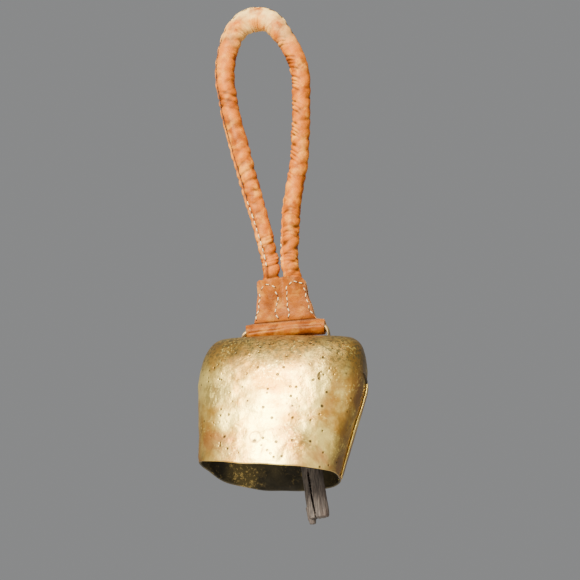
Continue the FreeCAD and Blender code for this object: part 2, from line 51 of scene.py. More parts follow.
EYE = np.array(JOINTS["clapper_swing"]["pos_m"])

# ---------------------------------------------------------------- driving sizes, mm and degrees

BAR_TILT = 6.0
BAR_OFFSET = 2.3          # crown's middle from the bar's middle, along X
BAR_HEIGHT = 9.0

BELL_HEIGHT = 100.0
MOUTH = (47.5, 35.5)      # half width and half depth
SHOULDER = (60.0, 31.0)
SHOULDER_LEVEL = 64.0
CROWN_HALF = 43.0
CREST_TILT = 2.2
MOUTH_OFFSET = -3.5
RIM_RISE = 3.5
SHEET_GAUGE = 1.5
OVAL_POWER = 2.55
WALL_FALL = -0.0016       # how much a side wall's normal points down
FULL_FOLD = 0.975         # sine of the shoulder's angle at the bell's stated height
ROOF_LIFT = 1.7           # hammered crest above the stated height
ROOF_FULLNESS = 0.88      # below 1 the fold over the shoulder is squarer than round

FLAP_FRONT = -1.0         # free edge of a side flap, along Y
FLAP_BACK = 13.0
FLAP_TOP = 70.0
FLAP_PROUD = (0.35, 0.95)  # left and right
FLAP_GAP = 0.35

HANDLE_LEAN = 10.0
LOOP_SKEW = 3.5
LOOP_PIVOT = 40.0
GRIP_WAIST = 7.7
GRIP_START = 46.0
GRIP_BELLY = 28.5
GRIP_BELLY_Z = 188.0
GRIP_TOP = 241.0
GRIP_TOP_TURN = 19.0
GRIP_RADII = (6.1, 6.6, 6.9, 7.15, 7.4, 7.15, 6.9, 6.6, 6.1)
GRIP_TAIL = 36.5          # flattened end that runs down between the tab's flaps

TAB_TOP = 37.5
TAB_FOOT = 3.0
ROLL_RADIUS = 5.3
ROLL_HALF = 28.3

CLAPPER_LENGTH = 98.0
CLAPPER_LEAN = 10.3
THONG_LEAN = 6.0

STITCH_LENGTH = 3.7
STITCH_PITCH = 5.4
TAB_STITCH = 2.9
TAB_PITCH = 4.4
THREAD = 0.45
TAB_THREAD = 0.38


# ---------------------------------------------------------------- frames

def about(axis, degrees):
    """The turn by some degrees about a named axis."""
    return np.array(Matrix.Rotation(math.radians(degrees), 3, axis))


BELL = BAR + np.array([BAR_OFFSET * MM, 0, 0])
HANDLE_TURN = about("Y", -BAR_TILT) @ about("X", HANDLE_LEAN)
CLAPPER_TURN = about("Y", -CREST_TILT) @ about("X", THONG_LEAN) @ about("Y", -CLAPPER_LEAN)


def in_bell(points):
    """Bell frame, mm, to the row's frame, metres."""
    return BELL + points * MM


def in_handle(points):
    """Handle frame, mm, from the bar's middle."""
    return BAR + points * MM @ HANDLE_TURN.T


def in_loop(points):
    """Loop frame, mm: the handle's frame, skewed about a point just above the tab."""
    pivot = np.array([0, 0, LOOP_PIVOT])
    return in_handle(pivot + (points - pivot) @ about("Y", -LOOP_SKEW).T)


def in_clapper(points):
    """Clapper frame, mm, from its pierced eye; the stick runs down -Z."""
    return EYE + points * MM @ CLAPPER_TURN.T


# ---------------------------------------------------------------- smooth random fields

def value_noise(points, seed):
    """Value noise from 0 to 1 on a unit lattice."""
    cell = np.floor(points)
    part = points - cell
    part = part * part * (3 - 2 * part)
    total = np.zeros(points.shape[:-1])
    for corner in np.ndindex(2, 2, 2):
        spot = cell + np.array(corner)
        mixed = np.sin(spot @ np.array([12.9898, 78.233, 37.719]) + seed * 1.7) * 43758.5453
        weight = np.prod(np.where(np.array(corner) == 1, part, 1 - part), axis=-1)
        total += (mixed - np.floor(mixed)) * weight
    return total


def rough(points, grain, octaves=3, seed=1):
    """Layered noise from about -1 to 1; grain is the largest lump, in the points' unit."""
    total = np.zeros(points.shape[:-1])
    strength, reach = 1.0, 0.0
    for octave in range(octaves):
        total += strength * (2 * value_noise(points / grain * 2 ** octave + 31.7 * octave, seed) - 1)
        reach += strength
        strength /= 2
    return total / reach * 1.6


def ease(low, high, x):
    """0 below low, 1 above high, smooth between."""
    part = np.clip((x - low) / (high - low), 0, 1)
    return part * part * (3 - 2 * part)


# ---------------------------------------------------------------- meshes

def linked(name, data):
    """A new object in the scene."""
    obj = bpy.data.objects.new(name, data)
    bpy.context.scene.collection.objects.link(obj)
    return obj


def cleaned(mesh, weld=False):
    """Turns all faces outward; weld joins points that coincide."""
    work = bmesh.new()
    work.from_mesh(mesh)
    if weld:
        bmesh.ops.remove_doubles(work, verts=work.verts, dist=WELD)
        bmesh.ops.dissolve_degenerate(work, edges=work.edges, dist=WELD / 2)
    bmesh.ops.recalc_face_normals(work, faces=work.faces)
    work.to_mesh(mesh)
    work.free()


def grid_faces(rows, columns, wrap_columns=False):
    """Quads of a grid of points stored row by row."""
    faces = []
    for row in range(0, (rows - 1) * columns, columns):
        for j in range(columns if wrap_columns else columns - 1):
            k = (j + 1) % columns
            faces.append((row + j, row + k, row + columns + k, row + columns + j))
    return faces


def tube(rings):
    """Points and faces of a closed tube through rings of points, its ends closed by fans to their middle
    points.
    """
    rows, columns = rings.shape[:2]
    points = [rings.reshape(-1, 3), rings[0].mean(0)[None], rings[-1].mean(0)[None]]
    faces = grid_faces(rows, columns, wrap_columns=True)
    low, high = rows * columns, rows * columns + 1
    last = (rows - 1) * columns
    for j in range(columns):
        k = (j + 1) % columns
        faces.append((low, k, j))
        faces.append((high, last + j, last + k))
    return np.concatenate(points), faces


def slab(front, back):
    """Points and faces of a closed sheet between two grids of the same size."""
    rows, columns = front.shape[:2]
    size = rows * columns
    faces = grid_faces(rows, columns)
    faces += [tuple(size + k for k in reversed(face)) for face in grid_faces(rows, columns)]
    border = list(range(columns))
    border += [i * columns + columns - 1 for i in range(1, rows)]
    border += [(rows - 1) * columns + j for j in range(columns - 2, -1, -1)]
    border += [i * columns for i in range(rows - 2, 0, -1)]
    for a, b in zip(border, border[1:] + border[:1]):
        faces.append((b, a, size + a, size + b))
    return np.concatenate([front.reshape(-1, 3), back.reshape(-1, 3)]), faces


# ---------------------------------------------------------------- node materials

class Paint:
    """A node material being mixed. Its methods add nodes and return their output sockets."""

    def __init__(self, name):
        self.made = bpy.data.materials.new(name)
        self.made.use_nodes = True
        self.tree = self.made.node_tree
        self.shader = self.tree.nodes["Principled BSDF"]
        self.colour = None
        self.bump = None

    def node(self, kind, **values):
        """A node; a value sets the socket of that name, or else the property."""
        made = self.tree.nodes.new("ShaderNode" + kind)
        for key, value in values.items():
            socket = made.inputs.get(key.replace("_", " "))
            if socket is None:
                setattr(made, key, value)
            else:
                socket.default_value = value
        return made

    def plug(self, value, socket):
        """Gives a socket a link, a number, a vector or an (r, g, b)."""
        if isinstance(value, bpy.types.NodeSocket):
            self.tree.links.new(value, socket)
        elif socket.type == "RGBA" and len(value) == 3:
            socket.default_value = (*value, 1.0)
        else:
            socket.default_value = value

    def place(self):
        """The object's own coordinates, metres."""
        return self.node("TexCoord").outputs["Object"]

    def level(self, axis):
        split = self.node("SeparateXYZ")
        self.plug(self.place(), split.inputs[0])
        return split.outputs[axis]

    def spots(self, scale, detail=4.0, roughness=0.55, distortion=0.0, stretch=(1.0, 1.0, 1.0), seed=0.0):
        """Noise from 0 to 1; scale is lumps per metre."""
        shift = self.node("Mapping", Location=(seed, seed * 0.7, -seed), Scale=stretch)
        self.plug(self.place(), shift.inputs["Vector"])
        made = self.node("TexNoise", Scale=scale, Detail=detail, Roughness=roughness, Distortion=distortion)
        self.plug(shift.outputs["Vector"], made.inputs["Vector"])
        return made.outputs["Fac"]

    def cells(self, scale, randomness=1.0):
        """Distance to the nearest of scattered points, in cells."""
        made = self.node("TexVoronoi", Scale=scale, Randomness=randomness)
        self.plug(self.place(), made.inputs["Vector"])
        return made.outputs["Distance"]

    def window(self, source, low, high):
        """0 below low, 1 above high, smooth between."""
        made = self.node("MapRange", interpolation_type="SMOOTHSTEP", From_Min=low, From_Max=high)
        self.plug(source, made.inputs["Value"])
        return made.outputs["Result"]

    def patches(self, low, high, *noise, **more):
        """Noise cut into patches: 0 where it is below low, 1 above high."""
        return self.window(self.spots(*noise, **more), low, high)

    def edges(self, low, high):
        return self.window(self.node("NewGeometry").outputs["Pointiness"], low, high)

    def own_relief(self):
        """The piece's own relief, about -1 in dips to 1 on high places."""
        return self.node("Attribute", attribute_name="relief").outputs["Fac"]

    def sums(self, operation, first, second):
        made = self.node("Math", operation=operation)
        self.plug(first, made.inputs[0])
        self.plug(second, made.inputs[1])
        return made.outputs["Value"]

    def times(self, first, second):
        return self.sums("MULTIPLY", first, second)

    def rest_of(self, source):
        """What is left of 1."""
        return self.sums("SUBTRACT", 1.0, source)

    def near(self, centre, low, high, seed=0.0):
        """1 within low metres of a point of the row's frame, 0 beyond high, with a ragged edge."""
        apart = self.node("VectorMath", operation="DISTANCE")
        self.plug(self.place(), apart.inputs[0])
        self.plug(tuple(centre), apart.inputs[1])
        wobble = self.times(self.spots(160, seed=seed), (high - low) * 1.5)
        reach = self.sums("ADD", apart.outputs["Value"], self.sums("SUBTRACT", wobble, (high - low) * 0.75))
        return self.rest_of(self.window(reach, low, high))

    def stain(self, share, colour, strength=None, base=None):
        """Lays a colour over the mix, or over a first base, by share times strength."""
        if strength is not None:
            share = self.times(share, strength)
        made = self.node("Mix", data_type="RGBA")
        self.plug(share, made.inputs[0])
        self.plug(base or self.colour, made.inputs[6])
        self.plug(colour, made.inputs[7])
        self.colour = made.outputs[2]

    def uneven(self, name, source, low, high):
        """Lets one of the shader's values vary from low to high with a 0 to 1 source."""
        made = self.node("MapRange", To_Min=low, To_Max=high)
        self.plug(source, made.inputs["Value"])
        self.plug(made.outputs["Result"], self.shader.inputs[name])

    def relief(self, height, depth, strength=1.0):
        """Bump of depth metres from a 0 to 1 height, on top of the reliefs before it."""
        made = self.node("Bump", Strength=strength, Distance=depth)
        self.plug(height, made.inputs["Height"])
        if self.bump:
            self.plug(self.bump, made.inputs["Normal"])
        self.bump = made.outputs["Normal"]
        self.plug(self.bump, self.shader.inputs["Normal"])

    def finish(self, **values):
        """Connects the colour and sets the shader's own values."""
        self.plug(self.colour, self.shader.inputs["Base Color"])
        for name, value in values.items():
            self.plug(value, self.shader.inputs[name.replace("_", " ")])
        return self.made


BRASS = (0.52, 0.255, 0.028)
PALE_BRASS = (1.0, 0.76, 0.20)
OLIVE = (0.16, 0.115, 0.034)
COPPER = (0.48, 0.17, 0.040)
UMBER = (0.040, 0.024, 0.010)
TAN = (0.50, 0.125, 0.006)
TAN_DARK = (0.25, 0.050, 0.002)
TAN_PALE = (0.88, 0.37, 0.040)

# X and height above the rim on the bell's front wall, and size, mm
PITS = ((-29.7, 22.0, 1.3), (-7.6, 18.9, 1.9), (34.9, 46.0, 1.3), (29.5, 21.0, 1.2), (37.1, 56.0, 1.1),
        (15.5, 44.3, 1.0), (-16.0, 47.0, 0.9), (-21.0, 57.0, 0.8), (12.0, 9.0, 1.1))
RINGS = ((11.0, 60.7, 2.4), (-7.4, 21.6, 4.0))


def bell_wall(x, z, side=-1):
    """A point on the bell's front wall (side -1) or back wall, from X and height above the rim, mm."""
    wide, deep = wall_halves(z)
    across = min(0.98, abs(x - MOUTH_OFFSET * (1 - z / BELL_HEIGHT)) / wide)
    reach = (1 - across ** OVAL_POWER) ** (1 / OVAL_POWER)
    return in_bell(np.array([x, side * deep * reach, z - BAR_HEIGHT - BELL_HEIGHT]))


def bell_brass():
    """Dull brass coat with stains, pits, a speckled band below the crown and painted shade on the sides and
    back.
    """
    paint = Paint("bell_brass")
    paint.stain(paint.patches(0.40, 0.66, 34, 5, 0.6, seed=1.3), PALE_BRASS, base=BRASS)
    # Painted shade: faces turned away from the front, the sides and the back, are painted darker in ragged
    # patches.
    facing = paint.node("VectorMath", operation="DOT_PRODUCT")
    paint.plug(paint.node("NewGeometry").outputs["Normal"], facing.inputs[0])
    paint.plug((-0.03, -0.99, 0.0), facing.inputs[1])
    aside = paint.rest_of(paint.window(facing.outputs["Value"], 0.15, 0.93))
    painted_side_shade = paint.times(aside, paint.sums("ADD", 0.35, paint.patches(0.35, 0.62, 45, 5, 0.65, seed=17.0)))
    paint.stain(painted_side_shade, (0.29, 0.155, 0.058), 0.74)
    paint.stain(paint.patches(0.50, 0.70, 27, 5, 0.6, 0.6, seed=4.1), COPPER, 0.75)
    paint.stain(paint.patches(0.52, 0.72, 22, 6, 0.65, 0.4, seed=7.7), OLIVE, 0.8)
    high = paint.window(paint.level("Z"), float(BELL[2]) - 0.052, float(BELL[2]) - 0.022)
    speck = paint.patches(0.47, 0.60, 420, 3, 0.7, seed=2.2)
    paint.stain(paint.times(high, paint.sums("ADD", paint.times(speck, 0.42), 0.50)), (0.125, 0.098, 0.036))
    flecks = paint.patches(0.56, 0.64, 620, 2, 0.6, seed=9.4)
    paint.stain(paint.times(flecks, paint.patches(0.45, 0.6, 55, 3, seed=3.9)), PALE_BRASS, 0.55)
    pit = paint.times(paint.rest_of(paint.window(paint.cells(210.0), 0.10, 0.25)),
                      paint.patches(0.46, 0.56, 75, 2, seed=5.2))
    paint.stain(pit, UMBER, 0.85)
    for x, z, size in PITS:
        dot = paint.near(bell_wall(x, z), 0.45 * size * MM, 1.15 * size * MM, seed=x)
        paint.stain(dot, UMBER, 0.95)
    for x, z, size in RINGS:
        outer, inner = (paint.near(bell_wall(x, z), (size + grow) * MM, (size + grow + 0.8) * MM, seed=z)
                        for grow in (0.1, -1.1))
        ring = paint.sums("MAXIMUM", paint.sums("SUBTRACT", outer, inner), 0.0)
        paint.stain(ring, (0.30, 0.17, 0.035), 0.65)
    nicks = paint.patches(0.57, 0.62, 250, 3, 0.7, 0.8, (1.0, 1.0, 0.45), seed=31.5)
    knocked = paint.near(bell_wall(33.0, 69.0), 4 * MM, 15 * MM, seed=33.0)
    paint.stain(paint.times(nicks, knocked), UMBER, 0.9)
    rubbed = paint.near(bell_wall(-41.5, 54.0), 5 * MM, 15 * MM, seed=41.0)
    paint.stain(rubbed, (0.20, 0.135, 0.045), 0.6)
    hatch = paint.patches(0.53, 0.60, 420, 3, 0.7, 0.4, (1.0, 1.0, 0.5), seed=35.5)
    paint.stain(paint.times(hatch, rubbed), PALE_BRASS)
    paint.stain(paint.edges(0.53, 0.60), PALE_BRASS, 0.6)
    paint.uneven("Roughness", paint.spots(48, 6, 0.65, seed=6.6), 0.30, 0.50)
    paint.relief(paint.spots(130, 5, 0.6, seed=8.1), 0.0007, 0.55)
    paint.relief(paint.spots(900, 4, 0.7, seed=8.8), 0.00016, 0.6)
    paint.relief(paint.rest_of(pit), 0.0004, 0.7)
    return paint.finish(Metallic=0.86)


def bell_inside():
    """Inside of the sheet, painted near black in dark olive patches as painted shade, with a painted pool of
    light and golden specks left of the back wall's middle.
    """
    paint = Paint("bell_inside")
    # Painted shade: the whole inside is painted near black in dark patches for the shade within the bell.
    shade_patches = paint.patches(0.4, 0.68, 40, 5, 0.6, seed=11.0)
    paint.stain(shade_patches, (0.085, 0.066, 0.030), base=(0.030, 0.024, 0.013))
    speck = paint.patches(0.54, 0.62, 520, 3, 0.7, seed=12.0)
    patch = paint.patches(0.46, 0.60, 30, 3, 0.6, seed=13.3)
    # Painted light: a paler pool, holding most of the golden specks, where light falls on the back wall's
    # inside.
    lit = paint.near(bell_wall(-30.0, 9.0, 1), 3 * MM, 17 * MM, seed=2.0)
    paint.stain(lit, (0.26, 0.185, 0.055), 0.45)
    share = paint.times(speck, paint.sums("ADD", paint.times(patch, 0.3), lit))
    paint.stain(share, (0.66, 0.46, 0.13), 0.8)
    paint.relief(paint.spots(240, 5, 0.65, seed=14.0), 0.0006, 0.7)
    return paint.finish(Metallic=0.45, Roughness=0.6)


def worn_brass(name, base, dark):
    """Rough run-in brass for the feet, the brazes and the crown loop."""
    paint = Paint(name)
    paint.stain(paint.patches(0.38, 0.66, 180, 5, 0.65, seed=15.0), dark, base=base)
    paint.stain(paint.edges(0.52, 0.58), PALE_BRASS, 0.55)
    paint.relief(paint.spots(520, 5, 0.65, seed=16.0), 0.0004, 0.8)
    return paint.finish(Metallic=0.7, Roughness=0.5)


def tan_leather(name, seed, shade=1.0):
    """Oiled tan leather: blotches, painted shade in the creases, a painted highlight on high places and on
    the top, and fine grain.
    """
    paint = Paint(name)
    base, dark_base, pale = (tuple(channel * shade for channel in tone) for tone in (TAN, TAN_DARK, TAN_PALE))
    paint.stain(paint.patches(0.42, 0.66, 75, 5, 0.6, seed=seed), dark_base, base=base)
    paint.stain(paint.patches(0.48, 0.70, 105, 4, 0.6, 0.3, seed=seed + 2), pale, 0.55)
    height = paint.own_relief()
    # Painted shade in the dips of the piece's relief, and a painted highlight on its high places.
    paint.stain(paint.rest_of(paint.window(height, -1.1, -0.05)), (0.045, 0.008, 0.001), 0.85)
    paint.stain(paint.window(height, 0.15, 1.3), pale, 0.45)
    # Painted highlight: the top is painted cream for the light from above.
    painted_top_highlight = paint.window(paint.level("Z"), -0.024, 0.010)
    patchy = paint.patches(0.30, 0.55, 60, 3, seed=seed + 3)
    paint.stain(paint.times(painted_top_highlight, paint.times(patchy, 0.85)), (0.93, 0.64, 0.20))
    paint.stain(paint.patches(0.35, 0.70, 900, 3, 0.7, seed=seed + 5), dark_base, 0.20)
    paint.uneven("Roughness", paint.spots(120, 4, 0.6, seed=seed + 7), 0.38, 0.62)
    paint.relief(paint.cells(1500.0, 0.9), 0.00012, 0.55)
    paint.relief(paint.spots(320, 5, 0.6, 0.5, seed=seed + 9), 0.0004, 0.5)
    return paint.finish(Specular_IOR_Level=0.28, Specular_Tint=(1.0, 0.70, 0.38, 1.0))


def clapper_wood():
    """Weathered grey-brown hardwood with its grain along the stick, and painted shade in its hollows."""
    paint = Paint("clapper_wood")
    lean = Matrix(CLAPPER_TURN.T.tolist()).to_euler()
    turned = paint.node("Mapping", Rotation=lean, Scale=(1.0, 1.0, 0.07))
    paint.plug(paint.place(), turned.inputs["Vector"])
    noise = paint.node("TexNoise", Scale=900.0, Detail=5.0, Roughness=0.65)
    paint.plug(turned.outputs["Vector"], noise.inputs["Vector"])
    grain = noise.outputs["Fac"]
    paint.stain(paint.window(grain, 0.36, 0.66), (0.125, 0.098, 0.076), base=(0.038, 0.028, 0.022))
    paint.stain(paint.patches(0.45, 0.7, 70, 4, seed=31.0), (0.070, 0.040, 0.028), 0.5)
    # Painted shade: hollows, such as the split and the bore, are painted darker.
    paint.stain(paint.rest_of(paint.edges(0.42, 0.50)), (0.028, 0.012, 0.009), 0.8)
    paint.relief(grain, 0.0006, 0.75)
    return paint.finish(Roughness=0.72)


def two_tone(name, first, second, noise, spread=(0.4, 0.7), grain=None, **values):
    """Soft patches of two tones. noise is scale, detail and seed; grain is scale, detail, seed, depth
    and strength of a fine relief."""
    paint = Paint(name)
    share = paint.spots(noise[0], noise[1], seed=noise[2])
    paint.stain(paint.window(share, *spread) if spread else share, second, base=first)
    if grain:
        paint.relief(paint.spots(grain[0], grain[1], seed=grain[2]), grain[3], grain[4])
    return paint.finish(**values)


# ---------------------------------------------------------------- bell shell

def even_turns(count):
    """Angles that space points evenly round the bell's oval."""
    dense = np.linspace(0, 2 * math.pi, 8001)
    x, y = oval_unit(dense)
    run = np.concatenate([[0], np.cumsum(np.hypot(np.diff(55 * x), np.diff(33 * y)))])
    return np.interp(np.linspace(0, run[-1], count, endpoint=False), run, dense)


def oval_unit(turns):
    """The bell's oval, 1 unit in half width and half depth."""
    c, s = np.cos(turns), np.sin(turns)
    power = 2 / OVAL_POWER
    return np.sign(c) * np.abs(c) ** power, np.sign(s) * np.abs(s) ** power


def wall_halves(z):
    """Half width and half depth of the wall at z above the rim."""
    part = z / SHOULDER_LEVEL
    swell = part * (1.3 - 0.3 * part)
    return [MOUTH[i] + (SHOULDER[i] - MOUTH[i]) * swell for i in (0, 1)]


def rim_level(x):
    """The rim's height at x: lowest at front and back, with a slight hand-cut waver."""
    waver = 0.45 * np.sin(x / 9.0 + 0.6) + 0.3 * np.sin(x / 4.1 + 2.0)
    return RIM_RISE * ((x - MOUTH_OFFSET) / MOUTH[0]) ** 2 + waver * 0.6


def front_lift(ux, uy):
    """How much shorter the front wall is cut, most at its left."""
    return ease(-0.50 + 0.35 * ux, 0.08 + 0.36 * ux, -uy) * (2.6 - 0.9 * ux - 0.8 * ux ** 2 * (ux > 0))


def lifted(x, y, z):
    """Bell frame points from an upright form: the crown leans and the mouth sits off centre."""
    up = z / BELL_HEIGHT
    x = x + MOUTH_OFFSET * (1 - up)
    lift = x * math.tan(math.radians(CREST_TILT)) * up
    return np.stack([x, y, z + lift - BAR_HEIGHT - BELL_HEIGHT], axis=-1)


def bell_rows(turns, wall_steps, roof_steps, cap_steps):
    """Rows of points from the rim up to the crest's middle line."""
    ux, uy = oval_unit(turns)
    rows = []
    rim = rim_level(MOUTH_OFFSET + MOUTH[0] * ux) + 0.9 + front_lift(ux, uy)
    for part in np.linspace(0, 1, wall_steps, endpoint=False):
        z = rim + (SHOULDER_LEVEL - rim) * part
        a, b = wall_halves(z)
        squeeze = (np.where(ux < 0, 1.3, 0.8) * np.sin(math.pi * part) + 1.3 * part * (ux < 0)) * ux ** 2
        rows.append(lifted((a - squeeze) * ux, b * uy, z))
    widest = math.asin(FULL_FOLD ** (1 / ROOF_FULLNESS))
    for angle in np.linspace(0, widest, roof_steps):
        fold, round_in = math.sin(angle) ** ROOF_FULLNESS, math.cos(angle) ** ROOF_FULLNESS
        z = SHOULDER_LEVEL + (BELL_HEIGHT + ROOF_LIFT - SHOULDER_LEVEL) * fold / FULL_FOLD
        a = SHOULDER[0] - (SHOULDER[0] - CROWN_HALF - 1.0) * (1 - round_in) ** 1.2
        trim = np.where(ux > 0, 3.6 * (1 - round_in), 1.3 * round_in) * ux ** 2
        rows.append(lifted((a - trim) * ux, SHOULDER[1] * round_in * uy, np.full_like(ux, z)))
    for part in np.linspace(0, 1, cap_steps + 1)[1:]:
        half = a - 2.5 * part * part - trim
        thin = SHOULDER[1] * round_in * (1 - part)
        crest = BELL_HEIGHT + ROOF_LIFT + 0.3 * part * (2 - part)
        rows.append(lifted(half * ux, thin * uy, np.full_like(ux, crest)))
    return np.array(rows)


def grid_normals(rows):
    """Unit normals of a grid that wraps along its columns; outward for rows that climb."""
    along = np.gradient(rows, axis=0)
    across = np.roll(rows, -1, axis=1) - np.roll(rows, 1, axis=1)
    normals = np.cross(across, along)
    length = np.linalg.norm(normals, axis=-1, keepdims=True)
    return np.where(length > 1e-9, normals / np.maximum(length, 1e-9), (0, 0, 1.0))


def build_bell(brass, inside):
    """The sheet's dented outside, its rounded lip and its inside, as one skin."""
    columns = 760
    scale = 1.0
    turns = even_turns(columns)
    wall_steps, roof_steps, cap_steps = (int(n * scale) for n in (150, 96, 14))
    rows = bell_rows(turns, wall_steps, roof_steps, cap_steps)
    normals = grid_normals(rows)
    normals[-1] = (0, 0, 1)
    calm = np.linspace(0, 1, len(rows))[:, None]
    calm = ease(0.0, 0.04, calm) * (1 - ease(0.96, 1.0, calm)) + 0.15
    dents = 0.55 * rough(rows, 26, 3, 3) + 0.16 * rough(rows, 7, 3, 4)
    outer = rows + normals * (calm * dents)[..., None]
    under = rows - normals * (SHEET_GAUGE - calm * 0.35 * rough(rows, 22, 3, 5))[..., None]
    lip = []
    for angle in (0.3, 0.5, 0.7):
        swing = math.pi * angle
        middle = (outer[0] + under[0]) / 2
        lip.append(middle + (outer[0] - under[0]) / 2 * math.cos(swing)
                   - np.array([0, 0, 0.62]) * math.sin(swing))
    whole = np.concatenate([outer[::-1], lip, under])
    faces = grid_faces(len(whole), columns, wrap_columns=True)
    indices = [0] * (len(outer) * columns) + [1] * (len(faces) - len(outer) * columns)
    reliefs = np.concatenate([(calm * dents)[::-1].reshape(-1) / 0.5, np.ones(3 * columns),
                              np.zeros(under.shape[0] * columns)])
    parts = [(whole.reshape(-1, 3), faces, indices)]
    return stitched_piece("bell_shell", parts, in_bell, "bell", [brass, inside], reliefs)


def stitched_piece(name, parts, place, body, materials, reliefs=None):
    """A piece from several sets of points, faces and material numbers, placed from its own frame.
    One number stands for all faces of its set. The relief, from about -1 in dips to 1 on high places, goes to
    the materials, where the leather paints shade in its dips and a highlight on its high places."""
    points, faces, indices, count = [], [], [], 0
    for own, own_faces, own_indices in parts:
        points.append(own)
        faces += [tuple(count + k for k in face) for face in own_faces]
        indices += [own_indices] * len(own_faces) if isinstance(own_indices, int) else own_indices
        count += len(own)
    points = place(np.concatenate(points))
    mesh = bpy.data.meshes.new(name)
    mesh.from_pydata(points.tolist(), [], faces)
    if reliefs is not None:
        layer = mesh.attributes.new("relief", "FLOAT", "POINT")
        layer.data.foreach_set("value", reliefs.astype(np.float32))
    for made in materials:
        mesh.materials.append(made)
    mesh.polygons.foreach_set("material_index", indices)
    cleaned(mesh, weld=True)
    mesh.shade_smooth()
    obj = linked(name, mesh)
    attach(obj, body)
    return obj


def unit_grid(across, up):
    """Places from 0 to 1 along a row of points, and along the column of rows."""
    return np.linspace(0, 1, across)[None, :], np.linspace(0, 1, up)[:, None]


def side_wall(side, y, z):
    """Points and outward normals of one side wall at y and height z, bell frame."""
    a, b = wall_halves(np.minimum(z, SHOULDER_LEVEL))
    power = OVAL_POWER
    reach = (1 - np.abs(y / b) ** power) ** (1 / power)
    share = np.minimum(z / SHOULDER_LEVEL, 1)
    squeeze = ((0.8 if side > 0 else 1.3) * np.sin(math.pi * share) + 1.3 * share * (side < 0)) * reach ** 2
    points = lifted(side * (a - squeeze) * reach, y, z)
    normal = np.stack([side * reach ** (power - 1) / a, np.sign(y) * np.abs(y / b) ** (power - 1) / b,
                       np.full_like(y, WALL_FALL)], axis=-1)
    return points, normal / np.linalg.norm(normal, axis=-1, keepdims=True)


def build_flap(side, name, brass):
    """The outer sheet of a side seam with its slightly sprung free edge."""
    v, u = unit_grid(44, 260)
    rim = rim_level(np.full_like(u, side * MOUTH[0] + MOUTH_OFFSET)) + 1.6
    rim = rim + front_lift(side, side * (FLAP_FRONT + (FLAP_BACK - FLAP_FRONT) * v) / MOUTH[1])
    z = rim + (FLAP_TOP + 0.8 - rim) * u
    edge = FLAP_FRONT + 0.5 * np.sin(z / 11.0 + side) + 0.25 * np.sin(z / 3.7)
    y = side * (edge + (FLAP_BACK - edge) * v)
    points, normals = side_wall(side, y, z)
    free = np.exp(-((FLAP_BACK - FLAP_FRONT) * v / 4.0) ** 2)
    sink = ease(0.55, 1.0, v) * 1.9 + ease(FLAP_TOP - 2.0, FLAP_TOP + 0.8, z) * 0.9
    spring = FLAP_GAP * free * (1 + 0.5 * np.sin(z / 8.0 + 1.0))
    dents = 0.18 * rough(points, 12, 3, 6)
    proud = FLAP_PROUD[side > 0]
    outer = points + normals * (proud + spring - sink + dents)[..., None]
    under = points + normals * (spring - 0.9 * (1 - free) - sink * 0.6)[..., None]
    own, faces = slab(outer, under)
    return stitched_piece(name, [(own, faces, 0)], in_bell, "bell", [brass])


def build_seam_braze(side, name, braze):
    """Brass run in beside the inner flap's hidden edge, on the inside of the wall."""
    v, u = unit_grid(14, 110)
    y = side * (11.4 - 2.8 * v + 0.35 * np.sin(u * 31.0) * (1 - v) - 0.3 * np.sin(u * 23.0 + 1.0) * v)
    rim = rim_level(np.full_like(u, side * MOUTH[0] + MOUTH_OFFSET)) + 2.2 + front_lift(side, y / MOUTH[1])
    z = rim + (SHOULDER_LEVEL + 1.0 - rim) * u
    points, normals = side_wall(side, y, z)
    bead = np.sin(math.pi * v) ** 0.6 * (0.75 + 0.35 * np.sin(u * 61.0) * np.sin(u * 17.0))
    own, faces = slab(points - normals * (SHEET_GAUGE - 0.6),
                      points - normals * (SHEET_GAUGE + bead)[..., None])
    return stitched_piece(name, [(own, faces, 0)], in_bell, "bell", [braze])


def build_slit_shadow(side, name, dark):
    """A dark sheet painted as the shadow in the slit where the roof's fold stands open above the free edge of
    a side seam.
    """
    v, u = unit_grid(30, 8)
    u = u - 0.5
    y = side * (-9.0 + 8.6 * v) + 0 * u
    z = 74.2 - 4.6 * v + u * (0.25 + 1.5 * v ** 2)
    points, normals = side_wall(side, y, z)
    own, faces = slab(points + normals * (0.55 + 0.25 * v)[..., None], points - normals * 0.4)
    return stitched_piece(name, [(own, faces, 0)], in_bell, "bell", [dark])


# ---------------------------------------------------------------- grip

def arc(x, z, radius, start, end, spacing):
    """Evenly spaced XZ points of an arc between two angles, without its end."""
    count = max(2, int(abs(math.radians(end - start)) * radius / spacing))
    angles = np.radians(np.linspace(start, end, count, endpoint=False))
    return np.stack([x + radius * np.cos(angles), z + radius * np.sin(angles)], axis=-1)


